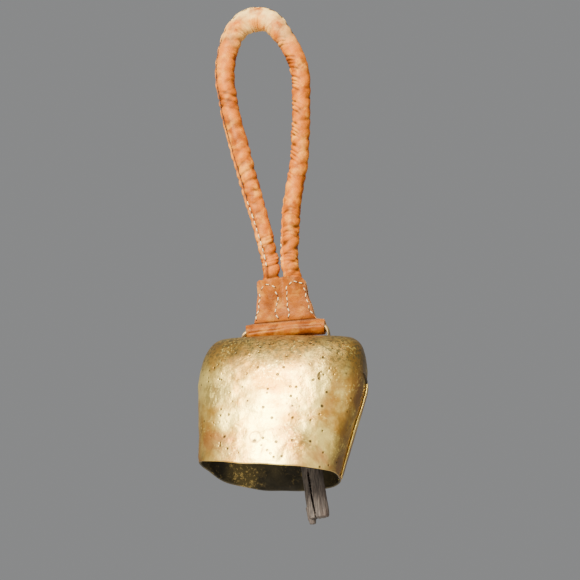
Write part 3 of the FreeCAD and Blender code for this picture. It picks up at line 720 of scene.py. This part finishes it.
def grip_line(spacing):
    """The loop's middle line as XZ points, with the number of points before each arc."""
    across, rise = (GRIP_BELLY - GRIP_WAIST) / 2, (GRIP_BELLY_Z - GRIP_START) / 2
    sway = (across ** 2 + rise ** 2) / (2 * across)
    swing = math.degrees(math.asin(rise / sway))
    shoulder = GRIP_TOP - GRIP_TOP_TURN - GRIP_BELLY_Z
    flank = (GRIP_BELLY ** 2 + shoulder ** 2 - GRIP_TOP_TURN ** 2) / (2 * (GRIP_BELLY - GRIP_TOP_TURN))
    lean = math.degrees(math.asin(shoulder / (flank - GRIP_TOP_TURN)))
    crown_z = GRIP_TOP - GRIP_TOP_TURN
    arcs = [arc(-GRIP_WAIST - sway, GRIP_START, sway, 0, swing, spacing),
            arc(sway - GRIP_BELLY, GRIP_BELLY_Z, sway, 180 + swing, 180, spacing),
            arc(flank - GRIP_BELLY, GRIP_BELLY_Z, flank, 180, 180 - lean, spacing),
            arc(0, crown_z, GRIP_TOP_TURN, 180 - lean, 90, spacing),
            arc(0, crown_z, GRIP_TOP_TURN, 90, lean, spacing),
            arc(GRIP_BELLY - flank, GRIP_BELLY_Z, flank, lean, 0, spacing),
            arc(GRIP_BELLY - sway, GRIP_BELLY_Z, sway, 0, -swing, spacing),
            arc(GRIP_WAIST + sway, GRIP_START, sway, 180 - swing, 180, spacing)]
    stops = np.cumsum([0] + [len(a) for a in arcs])
    return np.concatenate(arcs), stops


def seam_angle(part):
    """Where the seam is round the grip, radians from its outside toward the front; part 0.5 is the top."""
    left = 50 * np.clip(1 - 2 * part, 0, 1) ** 2.4 + 24
    right = 24 - 226 * np.clip(2 * part - 1, 0, 1) ** 0.95
    return np.radians(np.where(part < 0.5, left, right))


def sagged(line, part):
    """The loop as it hangs by hand: each leg wanders a little off its true curve, in mm along X."""
    places = (0, 0.07, 0.13, 0.19, 0.24, 0.30, 0.34, 0.38, 0.43, 0.50, 0.56, 0.60, 0.66, 0.70, 0.76, 0.82,
              0.87, 0.93, 1.0)
    wander = (-0.4, -1.6, -1.6, 1.4, 3.0, 2.4, 1.9, 0.6, 0, 0, -1.0, 0, 1.5, 0.7, 0, 1.4, 1.6, 0.6, -1.5)
    push = np.interp(part, places, wander)
    window_size = max(3, len(part) // 26)
    padded = np.pad(push, window_size, mode="edge")
    kernel = np.hanning(window_size + 2)[1:-1]
    push = np.convolve(padded, kernel / kernel.sum(), mode="same")[window_size:-window_size]
    line = line.copy()
    line[:, 0] += push
    return line


def grip_frame(spacing):
    """Loop frame: middle line, tangents, outward directions, radii, place along the loop from 0 to 1,
    length so far, and depth into a flattened tail."""
    line, stops = grip_line(spacing)
    count = len(line)
    part = np.arange(count) / (count - 1)
    radii = np.interp(np.arange(count), stops, GRIP_RADII)
    line = sagged(line, part)
    sway = 0.7 * np.sin(part * 17.0 + 0.5) + 0.4 * np.sin(part * 41.0)
    middle = np.stack([line[:, 0], sway, line[:, 1]], axis=-1)
    tail_steps = int(GRIP_TAIL / spacing)
    low = np.arange(tail_steps, 0, -1)[:, None] * spacing
    high = low[::-1]
    foot_left = middle[0] + low * np.array([-0.08, 0, -1.0]) - [0, 1, 0] * middle[0] * ease(0, 9, low)
    foot_right = middle[-1] + high * np.array([0.08, 0, -1.0]) - [0, 1, 0] * middle[-1] * ease(0, 9, high)
    middle = np.concatenate([foot_left, middle, foot_right])
    radii = np.concatenate([np.full(tail_steps, radii[0]), radii, np.full(tail_steps, radii[-1])])
    part = np.concatenate([np.zeros(tail_steps), part, np.ones(tail_steps)])
    along = np.gradient(middle, axis=0)
    along /= np.linalg.norm(along, axis=1, keepdims=True)
    outward = np.stack([-along[:, 2], np.zeros(len(along)), along[:, 0]], axis=-1)
    outward /= np.linalg.norm(outward, axis=1, keepdims=True)
    run = np.concatenate([[0], np.cumsum(np.linalg.norm(np.diff(middle, axis=0), axis=1))])
    depth = np.maximum(0, np.maximum(tail_steps - np.arange(len(middle)),
                                     np.arange(len(middle)) - len(middle) + tail_steps)) * spacing
    return middle, along, outward, radii, part, run, depth


FRONT = np.array([0, -1.0, 0])


def creases(run, pitch, seed):
    """Sharp dips from 0 to 1 at uneven steps along a length."""
    steps = run / pitch
    bend = steps + 0.45 * np.sin(steps * 1.7 + seed) + 0.3 * np.sin(steps * 0.63 + 2 * seed)
    return np.abs(np.cos(math.pi * bend)) ** 7


def grip_swell(turn, run, part, radii, points):
    """How far the leather stands off the grip's round form, mm."""
    twist = (run - turn / (2 * math.pi) * 15.0 + 2.2 * rough(points, 22, 2, 7)) / 8.2
    strands = 0.60 * (np.abs(np.sin(math.pi * twist)) ** 1.1 - 0.6)
    strands = strands * np.clip(0.8 + 0.6 * rough(points, 19, 2, 8), 0.3, 1.4)
    lumps = 0.45 * rough(points, 13, 3, 9) + 0.16 * rough(points, 4.5, 3, 10)
    inner = np.clip(-np.cos(turn), 0, 1)
    top = np.exp(-((part - 0.5) / 0.085) ** 2)
    full = 3.2 * inner * np.exp(-((part - 0.5) / 0.05) ** 2)
    bend_creases = -1.15 * creases(run, 5.2, 1.0) * inner ** 1.3 * top
    right = ease(0.54, 0.60, part) * (1 - ease(0.80, 0.9, part))
    slanted = creases(run - 4.5 * np.cos(turn), 4.9, 2.0)
    right_creases = -0.75 * slanted * np.clip(0.55 - np.cos(turn), 0, 1) * right
    low_legs = np.maximum(1 - ease(0.02, 0.10, part), ease(0.86, 0.95, part))
    low_creases = -0.5 * creases(run + 2.0 * np.sin(turn), 4.6, 3.0) * low_legs
    left = (1 - ease(0.36, 0.42, part)) * ease(0.08, 0.14, part)
    dimples = -0.35 * creases(run - 3.0 * np.cos(turn), 10.5, 4.0) * left
    apart = (turn - seam_angle(part) + math.pi) % (2 * math.pi) - math.pi
    aside = apart * radii
    groove = -0.40 * np.exp(-(aside / 0.8) ** 2)
    flange = 0.7 * np.exp(-((aside + 2.3) / 1.35) ** 4)
    pulled = 1 + 0.09 * np.sin(run / STITCH_PITCH * 2 * math.pi)
    folds = bend_creases + right_creases + low_creases + dimples
    return strands + lumps + full + folds + (groove + flange) * pulled


def build_grip(leather):
    """The stuffed leather tube, round along the loop and flattened at both tails."""
    around = 128
    spacing = 0.5
    middle, _, outward, *runs = grip_frame(spacing)
    radii, part, run, depth = (values[:, None] for values in runs)
    turn = np.linspace(0, 2 * math.pi, around, endpoint=False)[None, :]
    flat = ease(4.0, 17.0, depth)
    wide = radii * (1 + 0.18 * flat)
    thin = radii * (1 - 0.70 * flat)
    aside = outward[:, None, :] * (np.cos(turn) * wide)[..., None]
    ahead = FRONT * (np.sin(turn) * thin)[..., None]
    base = middle[:, None, :] + aside + ahead
    swell = grip_swell(turn, run, part, radii, base) * (1 - 0.9 * flat)
    lift = outward[:, None, :] * np.cos(turn)[..., None] + FRONT * np.sin(turn)[..., None]
    rings = base + lift * swell[..., None]
    own, faces = tube(rings)
    reliefs = np.concatenate([(swell / 0.8).reshape(-1), [0, 0]])
    parts = [(own, faces, 0)]
    grip = stitched_piece("grip_leather", parts, in_loop, "handle", [leather], reliefs)
    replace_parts(grip, "grip_cover")
    return grip


CORE_STEP = 1.2


def build_core(fibre):
    """The rope that stuffs the grip, inside its cover."""
    middle, _, outward, radii, *_, depth = grip_frame(CORE_STEP)
    middle, outward, radii = (values[depth == 0] for values in (middle, outward, radii))
    turn = np.linspace(0, 2 * math.pi, 36, endpoint=False)[None, :, None]
    lift = outward[:, None, :] * np.cos(turn) + FRONT * np.sin(turn)
    twist = np.arange(len(middle))[:, None, None] * CORE_STEP / 9.0 * math.pi - turn
    rings = middle[:, None, :] + lift * (radii[:, None, None] - 2.3 + 0.25 * np.abs(np.sin(1.5 * twist)))
    own, faces = tube(rings)
    core = stitched_piece("rope_stuffing", [(own, faces, 0)], in_loop, "handle", [fibre])
    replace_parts(core, "grip_core")


# ---------------------------------------------------------------- tab and roll

TAB_HALF_TOP = 16.4
TAB_HALF_FOOT = 24.8
TAB_FACE = 3.8


def smooth_line(points, count):
    """Even steps along a Catmull-Rom curve through points."""
    points = np.array(points, dtype=float)
    ends = np.concatenate([2 * points[:1] - points[1:2], points, 2 * points[-1:] - points[-2:-1]])
    out = []
    for i in range(1, len(ends) - 2):
        t = np.linspace(0, 1, 24, endpoint=False)[:, None]
        a, b, c, d = ends[i - 1:i + 3]
        out.append(0.5 * (2 * b + (c - a) * t + (2 * a - 5 * b + 4 * c - d) * t ** 2
                          + (3 * b - a - 3 * c + d) * t ** 3))
    out = np.concatenate(out + [ends[-2:-1]])
    run = np.concatenate([[0], np.cumsum(np.linalg.norm(np.diff(out, axis=0), axis=1))])
    even = np.linspace(0, run[-1], count)
    return np.stack([np.interp(even, run, out[:, i]) for i in range(out.shape[1])], axis=-1)


def tab_face(x, z):
    """How far the flap's face stands in front of the handle's middle plane at x and z, mm."""
    over_leg = np.exp(-((np.abs(x) - 8.8) / 5.2) ** 2)
    swell = 2.5 * over_leg * ease(12.0, 36.0, z) * (1 - 0.15 * ease(35.5, 38, z))
    between = -0.5 * np.exp(-(x / 2.6) ** 2) * ease(10.0, 20.0, z)
    return TAB_FACE + swell + between


def tab_profile(count):
    """The tab's outside in the YZ plane, from the front flap's top round the bar to the back's."""
    front = [(-TAB_FACE, TAB_TOP), (-TAB_FACE, 30), (-TAB_FACE, 20), (-TAB_FACE + 0.1, 12),
             (-3.5, 8.4), (-2.95, 6.4), (-2.75, 5.6), (-2.9, 5.1)]
    roll = [(-ROLL_RADIUS * math.cos(a), -ROLL_RADIUS * math.sin(a))
            for a in np.radians([-58, -40, -20, 0, 25, 50, 75, 90, 105, 130, 155, 180, 200, 220, 238])]
    back = [(-y, z) for y, z in reversed(front)]
    return smooth_line(front + roll + back, count)


def build_tab(leather, cut_edge):
    """The tab: two flaps and the roll round the bar, as one bent sheet."""
    rows, columns = ((420, 220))
    line = tab_profile(rows)
    tangent = np.gradient(line, axis=0)
    tangent /= np.linalg.norm(tangent, axis=1, keepdims=True)
    facing = np.stack([tangent[:, 1], -tangent[:, 0]], axis=-1)
    y, z = line[:, :1], line[:, 1:]
    across = np.linspace(-1, 1, columns)[None, :]
    rise = np.clip((z - TAB_FOOT) / (TAB_TOP - TAB_FOOT), 0, 1)
    slant = TAB_HALF_FOOT + (TAB_HALF_TOP - TAB_HALF_FOOT) * rise ** np.where(across < 0, 0.42, 0.60)
    onto_flap = ease(5.0, 6.2, z)
    half = ROLL_HALF + (slant - ROLL_HALF) * onto_flap
    corner = ease(TAB_TOP - 3.5, TAB_TOP, z)
    half = half - np.where(across < 0, 1.4, 2.2) * corner ** 3
    ends = ROLL_HALF - 1.2 * np.abs(z) / ROLL_RADIUS
    half = np.where(z < 5.0, np.minimum(half, ends + 1.0), half)
    side = np.sign(across)
    wave = 0.5 * np.sin(z / 5.5 + side * 1.3) + 0.3 * np.sin(z / 2.3 + side)
    x = across * (half + wave * np.abs(across) ** 4)
    x = x - 1.6 * ease(18, 33, z) * (1 - 0.2 * across)
    top_wave = 0.6 * np.sin(x / 4.0 + 1.0) + 0.35 * np.sin(x / 1.9)
    z_line = z + top_wave * ease(24, TAB_TOP, z)
    face = tab_face(x, z_line)
    sign = np.sign(y)
    outward_y = y + sign * (face - TAB_FACE) * ease(7, 14, z)
    points = np.stack(np.broadcast_arrays(x, outward_y, z_line), axis=-1)
    normal = np.stack(np.broadcast_arrays(0 * x, facing[:, :1], facing[:, 1:]), axis=-1)
    on_roll = 1 - ease(3.0, 5.0, z)
    # Painted shadow: a dark line in the relief, not in the shape, where the flap meets the roll.
    painted_roll_shadow = -1.6 * np.exp(-((z - 6.0) / 0.7) ** 2)
    wavy = 0.9 * np.sin(x / 9.0 + 0.5) + 0.4 * np.sin(x / 3.3)
    lengthwise = -0.32 * np.exp(-((z - 0.2 - wavy) / 0.75) ** 2) * on_roll * (np.abs(across) < 0.93)
    second = -0.06 * np.exp(-((z + 2.4 - wavy * 0.7) / 0.6) ** 2) * on_roll
    lumps = 0.30 * rough(points, 9, 3, 12) + 0.10 * rough(points, 2.6, 3, 13)
    outer = points + normal * (lumps + lengthwise + second)[..., None]
    gauge = 1.95 - 0.25 * np.abs(across) ** 6
    under = points - normal * (gauge + 0 * z)[..., None]
    own, faces = slab(outer, under)
    grid = (rows - 1) * (columns - 1)
    indices = [0] * (2 * grid) + [1] * (len(faces) - 2 * grid)
    relief_map = (lumps + lengthwise + second) / 0.9 + painted_roll_shadow
    tab = stitched_piece("tab_roll", [(own, faces, indices)], in_handle, "handle",
                         [leather, cut_edge], np.concatenate([relief_map.reshape(-1)] * 2))
    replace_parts(tab, "tab_leather")
    return tab


def capsule(middle, direction, facing, length, radius, belly):
    """One sewn stitch: a rounded length of thread, raised at its middle, with ends that dive."""
    steps, around = 9, 8
    direction = direction / np.linalg.norm(direction)
    facing = facing - direction * (facing @ direction)
    facing = facing / np.linalg.norm(facing)
    aside = np.cross(direction, facing)
    rings = []
    for t in np.linspace(-1, 1, steps):
        centre = middle + direction * (t * length / 2) + facing * belly * (1 - 2.4 * abs(t) ** 3)
        size = radius * max(0.25, (1 - abs(t) ** 4)) ** 0.5
        turn = np.linspace(0, 2 * math.pi, around, endpoint=False)[:, None]
        rings.append(centre + size * (np.cos(turn) * facing + np.sin(turn) * aside))
    return tube(np.array(rings))


def pocket_paths():
    """Hand-sewn lines on the front flap: two arches and the wandering lines beside the middle."""
    left_arch = [(-15.8, 29.5), (-14.0, 31.6), (-10.0, 33.0), (-6.6, 31.8), (-5.0, 29.4)]
    left_line = [(-5.0, 28.6), (-4.3, 25.5), (-3.4, 22.0), (-3.4, 20.0), (-5.4, 16.8), (-5.6, 12.6),
                 (-4.2, 7.6)]
    left_edge = [(-16.6, 28.0), (-17.2, 22.0), (-18.4, 15.0), (-20.8, 8.0)]
    right_line = [(4.4, 31.2), (2.9, 29.0), (3.4, 24.5), (2.9, 19.5), (3.8, 13.0), (3.6, 7.6)]
    right_arch = [(4.8, 31.8), (8.6, 33.2), (12.0, 33.0), (15.2, 31.2)]
    right_edge = [(15.8, 29.6), (17.0, 22.0), (18.8, 14.0), (21.0, 8.6)]
    return [(left_arch, 0), (left_line, 0), (left_edge, 0),
            (right_line, 1), (right_arch, 1), (right_edge, 1)]


def build_tab_stitches(thread, dark):
    """Stitches on both flaps; the back repeats the front's lines."""
    left, right = [], []
    for path, side in pocket_paths():
        line = smooth_line(path, 200)
        length = np.linalg.norm(np.diff(line, axis=0), axis=1).sum()
        count = max(2, round(length / TAB_PITCH))
        for i in range(count):
            k = int((i + 0.5) / count * (len(line) - 1))
            x, z = line[k]
            step = line[min(k + 3, len(line) - 1)] - line[max(k - 3, 0)]
            turn = 0.30 * (-1) ** i
            step = np.array([step[0] * math.cos(turn) - step[1] * math.sin(turn),
                             step[0] * math.sin(turn) + step[1] * math.cos(turn)])
            for face in (-1, 1):
                depth = face * (tab_face(np.array(x), np.array(z)) + 0.10)
                middle = np.array([x, depth, z])
                along = np.array([step[0], 0, step[1]])
                facing = np.array([0, face, 0.0])
                made, faces = capsule(middle, along, facing, TAB_STITCH, TAB_THREAD, 0.22)
                (left, right)[side].append((made, faces, 0))
                unit = along / np.linalg.norm(along)
                # Painted shade: a dark blob at each end of a stitch stands for the shade in its hole.
                for end in (-1, 1):
                    spot = middle + unit * end * 1.55 - facing * 0.22
                    made, faces = capsule(spot, unit, facing, 0.9, 0.42, 0.03)
                    (left, right)[side].append((made, faces, 1))
    for name, parts, node_name in (("tab_stitches_left", left, "tab_thread_left"),
                                   ("tab_stitches_right", right, "tab_thread_right")):
        obj = stitched_piece(name, parts, in_handle, "handle", [thread, dark])
        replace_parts(obj, node_name)


def build_seam_stitches(thread, dark):
    """Running stitches in the grip's seam, following its groove."""
    middle, along, outward, radii, part, run, depth = grip_frame(0.5)
    parts = []
    inside = np.flatnonzero(depth == 0)
    where = run[inside[0]] + 3.0
    while where < run[inside[-1]] - 2.0:
        k = int(np.searchsorted(run, where))
        angle = float(seam_angle(part[k]))
        facing = outward[k] * math.cos(angle) + FRONT * math.sin(angle)
        spot = middle[k] + facing * (radii[k] - 0.05)
        # Painted shade: away from the feet the stitches take the dark material, as if sunk in shadow, and a
        # dark dash between stitches stands for the shade in the hole.
        near_foot = part[k] < 0.13 or part[k] > 0.8
        length = STITCH_LENGTH * (0.92 + 0.16 * math.sin(where * 3.1))
        made, faces = capsule(spot, along[k], facing, length, THREAD * (1.1 if near_foot else 0.85),
                              0.30 if near_foot else -0.05)
        parts.append((made, faces, 0 if near_foot else 1))
        gap, faces = capsule(spot + along[k] * STITCH_PITCH / 2, along[k], facing, 1.2, 0.5, -0.15)
        parts.append((gap, faces, 1))
        where += STITCH_PITCH
    obj = stitched_piece("seam_stitches", parts, in_loop, "handle", [thread, dark])
    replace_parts(obj, "seam_thread")


# ---------------------------------------------------------------- clapper

STICK_PARTS = (-0.05, -0.02, 0.04, 0.12, 0.3, 0.6, 0.9, 1.0)      # of the length, from the eye down
STICK_HALF_WIDTHS = (2.2, 4.6, 5.6, 5.4, 6.4, 7.4, 7.9, 7.6)
STICK_HALF_DEPTHS = (1.6, 2.6, 3.0, 3.2, 4.4, 5.2, 5.5, 5.2)
EYE_RADIUS = 1.9
SPLIT_TOP = -48.0
TINE_DROP = 2.4           # how far the left tine passes the stick's foot
TINE_LENGTH = 11.4


def loose(name, rings):
    """A closed tube through rings in the clapper's frame, as an object for the cuts."""
    points, faces = tube(np.array(rings))
    mesh = bpy.data.meshes.new(name)
    mesh.from_pydata(in_clapper(points).tolist(), [], faces)
    cleaned(mesh)
    return linked(name, mesh)


def build_clapper(wood):
    """A split stick: a bored head, a long body and two tines, the left one longer and pointed."""
    rings = []
    turn = np.linspace(0, 2 * math.pi, 56, endpoint=False)
    for z in np.linspace(-CLAPPER_LENGTH + 1.2, 4.2, 134):
        part = -z / CLAPPER_LENGTH
        half_x = np.interp(part, STICK_PARTS, STICK_HALF_WIDTHS)
        half_y = np.interp(part, STICK_PARTS, STICK_HALF_DEPTHS)
        bow = 1.8 * math.sin(math.pi * min(max(part, 0), 1))
        c, s = np.cos(turn), np.sin(turn)
        left = 1 - 0.20 * float(ease(0.62, 1.0, part)) * (c < 0)
        x = bow * 0.6 + half_x * left * np.sign(c) * np.abs(c) ** 0.8
        y = half_y * np.sign(s) * np.abs(s) ** 0.8
        rings.append(np.stack([x, y, np.full_like(x, z)], axis=-1))
    body = loose("clapper_stick", rings)
    tine = []
    for part in np.linspace(0, 1, 24):
        z = -CLAPPER_LENGTH - TINE_DROP + TINE_LENGTH * part
        half = 1.9 + 0.9 * min(1, part * 3.0)
        x = -3.9 - 0.4 * part + half * np.cos(turn)
        tine.append(np.stack([x, 4.2 * (0.6 + 0.4 * part) * np.sin(turn), np.full_like(x, z)], axis=-1))
    tip = loose("clapper_tip", tine)
    gap = []
    for part in np.linspace(1, 0, 60):
        z = SPLIT_TOP + (-CLAPPER_LENGTH - 3.0 - SPLIT_TOP) * part
        middle = -1.0 + 0.30 * math.sin(z / 9.0) + 0.12 * math.sin(z / 3.1)
        half = 0.30 + 0.16 * min(1, part * 1.6)
        gap.append([(middle + x, y, z) for x, y in ((-half, -9), (half, -9), (half, 9), (-half, 9))])
    split = loose("clapper_split", gap)
    eye = [np.stack([EYE_RADIUS * np.cos(turn), np.full_like(turn, y), EYE_RADIUS * np.sin(turn)], axis=-1)
           for y in np.linspace(-9, 9, 12)]
    bore = loose("clapper_bore", eye)
    for operation, other in (("UNION", tip), ("DIFFERENCE", split), ("DIFFERENCE", bore)):
        step = body.modifiers.new(operation, "BOOLEAN")
        step.operation = operation
        step.solver = "EXACT"
        step.object = other
    remesh = body.modifiers.new("remesh", "REMESH")
    remesh.mode = "VOXEL"
    remesh.voxel_size = 0.42 * MM
    graph = bpy.context.evaluated_depsgraph_get()
    mesh = bpy.data.meshes.new_from_object(body.evaluated_get(graph))
    for other in (tip, split, bore):
        bpy.data.objects.remove(other)
    bpy.data.objects.remove(body)
    mesh.name = "clapper_stick"
    count = len(mesh.vertices)
    places, normals = np.empty(count * 3), np.empty(count * 3)
    mesh.vertices.foreach_get("co", places)
    mesh.vertex_normals.foreach_get("vector", normals)
    places, normals = places.reshape(-1, 3), normals.reshape(-1, 3)
    own = (places - EYE) / MM @ CLAPPER_TURN
    stretched = own * np.array([1.0, 1.0, 0.09])
    grain = 0.34 * rough(stretched, 2.6, 3, 20) + 0.3 * rough(own, 16, 2, 21)
    grain -= 0.5 * creases(own[:, 0] + 0.03 * own[:, 2] + 0.8 * rough(own, 30, 1, 22), 3.4, 5.0) * 0.6
    places = places + normals * (grain * MM)[:, None]
    mesh.vertices.foreach_set("co", places.reshape(-1))
    mesh.materials.clear()
    mesh.materials.append(wood)
    mesh.shade_smooth()
    obj = linked("clapper_stick", mesh)
    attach(obj, "clapper")
    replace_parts(obj, "clapper")


# ---------------------------------------------------------------- the whole

brass = bell_brass()
braze = worn_brass("braze", (0.40, 0.245, 0.085), (0.16, 0.105, 0.045))
loop_brass = worn_brass("loop_brass", (0.62, 0.43, 0.17), (0.20, 0.125, 0.055))
leather = tan_leather("tan_leather", 70.0)
tab_hide = tan_leather("tab_leather", 90.0, shade=0.58)
cut_edge = two_tone("leather_edge", (0.62, 0.36, 0.17), (0.40, 0.17, 0.065), (400, 4, 95.0), Roughness=0.75)
thread = two_tone("cream_thread", (0.70, 0.52, 0.26), (0.42, 0.27, 0.11), (300, 4, 21.0),
                  grain=(3500, 2, 22.0, 0.0001, 0.7), Roughness=0.6)
# Painted shade: near black stands for the shade in the stitch holes and on seam stitches sunk in their
# groove.
dark = two_tone("painted_stitch_shade", (0.035, 0.014, 0.006), (0.070, 0.026, 0.010), (900, 3, 23.0),
                spread=None, Roughness=0.85)
slit_shadow = two_tone("sheet_shadow", (0.020, 0.014, 0.008), (0.045, 0.030, 0.014), (700, 3, 97.0),
                spread=None, Roughness=0.8)
rope = two_tone("rope_core", (0.45, 0.34, 0.19), (0.27, 0.19, 0.10), (400, 4, 61.0),
                grain=(1500, 4, 62.0, 0.0003, 0.8), Roughness=0.9)
iron = two_tone("dark_iron", (0.050, 0.038, 0.028), (0.13, 0.065, 0.030), (260, 5, 41.0),
                grain=(900, 4, 42.0, 0.0003, 0.8), Metallic=0.6, Roughness=0.6)
lace = two_tone("black_leather", (0.045, 0.024, 0.013), (0.11, 0.055, 0.028), (350, 4, 51.0),
                grain=(1200, 4, 52.0, 0.0002, 0.7), Roughness=0.5)

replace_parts(build_bell(brass, bell_inside()), "bell_sheet")
build_flap(1, "flap_right", brass)
build_flap(-1, "flap_left", brass)
build_slit_shadow(1, "notch_shadow_right", slit_shadow)
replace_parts(build_seam_braze(-1, "braze_run_left", braze), "seam_braze_left")
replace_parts(build_seam_braze(1, "braze_run_right", braze), "seam_braze_right")
build_grip(leather)
build_core(rope)
build_tab(tab_hide, cut_edge)
build_tab_stitches(thread, dark)
build_seam_stitches(thread, dark)
build_clapper(clapper_wood())

for name, made in (("crown_loop", loop_brass), ("foot_braze_left", braze), ("foot_braze_right", braze),
                   ("staple_braze", braze), ("clapper_staple", iron), ("clapper_thong", lace)):
    mesh = frame["nodes"][name].data
    mesh.materials.clear()
    mesh.materials.append(made)


# ---------------------------------------------------------------- studio

def facing_basis(azimuth, elevation, roll=0.0):
    """Right, up and back directions of a camera; azimuth 0 stands at -Y."""
    a, e, r = (math.radians(v) for v in (azimuth, elevation, roll))
    back = Vector((math.sin(a) * math.cos(e), -math.cos(a) * math.cos(e), math.sin(e)))
    right = Vector((math.cos(a), math.sin(a), 0))
    up = back.cross(right)
    return (right * math.cos(r) + up * math.sin(r), up * math.cos(r) - right * math.sin(r), back)


def area_light(name, target, away, size, power, colour):
    """A square light that stands away from a target and faces it."""
    data = bpy.data.lights.new(name, "AREA")
    data.shape = "RECTANGLE"
    data.size = data.size_y = size
    data.energy = power
    data.color = colour
    obj = linked(name, data)
    obj.location = target + away
    obj.rotation_euler = (-away).to_track_quat("-Z", "Y").to_euler()


CAMERA_REACH = 0.9273
FLOOR_HALF = 6.0
FLOOR_LEVEL = -0.8

right, up, back = facing_basis(14.4, -20.4, 5.5)
bar = Vector(BAR.tolist())
aim = bar + right * 0.0032 + up * 0.0286
lens = bpy.data.cameras.new("camera")
lens.sensor_width = 36.0
lens.lens = 80.7
lens.clip_start = 0.05
camera = linked("camera", lens)
axes = Matrix((right, up, back)).transposed().to_4x4()
camera.matrix_world = Matrix.Translation(aim + back * CAMERA_REACH) @ axes
bpy.context.scene.camera = camera

centre = bar + Vector((0, 0, 0.02))
toward = Vector((-0.20, -0.93, 0.27))
area_light("key", centre, toward * 1.15, 0.38, 46.0, (1.0, 0.96, 0.88))
area_light("fill", centre, right * 0.9 + up * 0.1 + back * 0.8, 0.7, 2.5, (0.95, 0.97, 1.0))
area_light("over", centre, up * 1.1 + back * 0.25, 0.6, 9.0, (1.0, 0.96, 0.90))

world = bpy.data.worlds.new("studio")
world.use_nodes = True
world.node_tree.nodes["Background"].inputs["Color"].default_value = (0.86, 0.87, 0.88, 1.0)
world.node_tree.nodes["Background"].inputs["Strength"].default_value = 0.30
bpy.context.scene.world = world

floor_mesh = bpy.data.meshes.new("floor")
corners = [(x * FLOOR_HALF, y * FLOOR_HALF, FLOOR_LEVEL) for x, y in ((-1, -1), (1, -1), (1, 1), (-1, 1))]
floor_mesh.from_pydata(corners, [], [(0, 1, 2, 3)])
floor = linked("floor", floor_mesh)
paint = Paint("floor_paint")
paint.colour = (0.80, 0.80, 0.79)
floor_mesh.materials.append(paint.finish(Roughness=0.8))
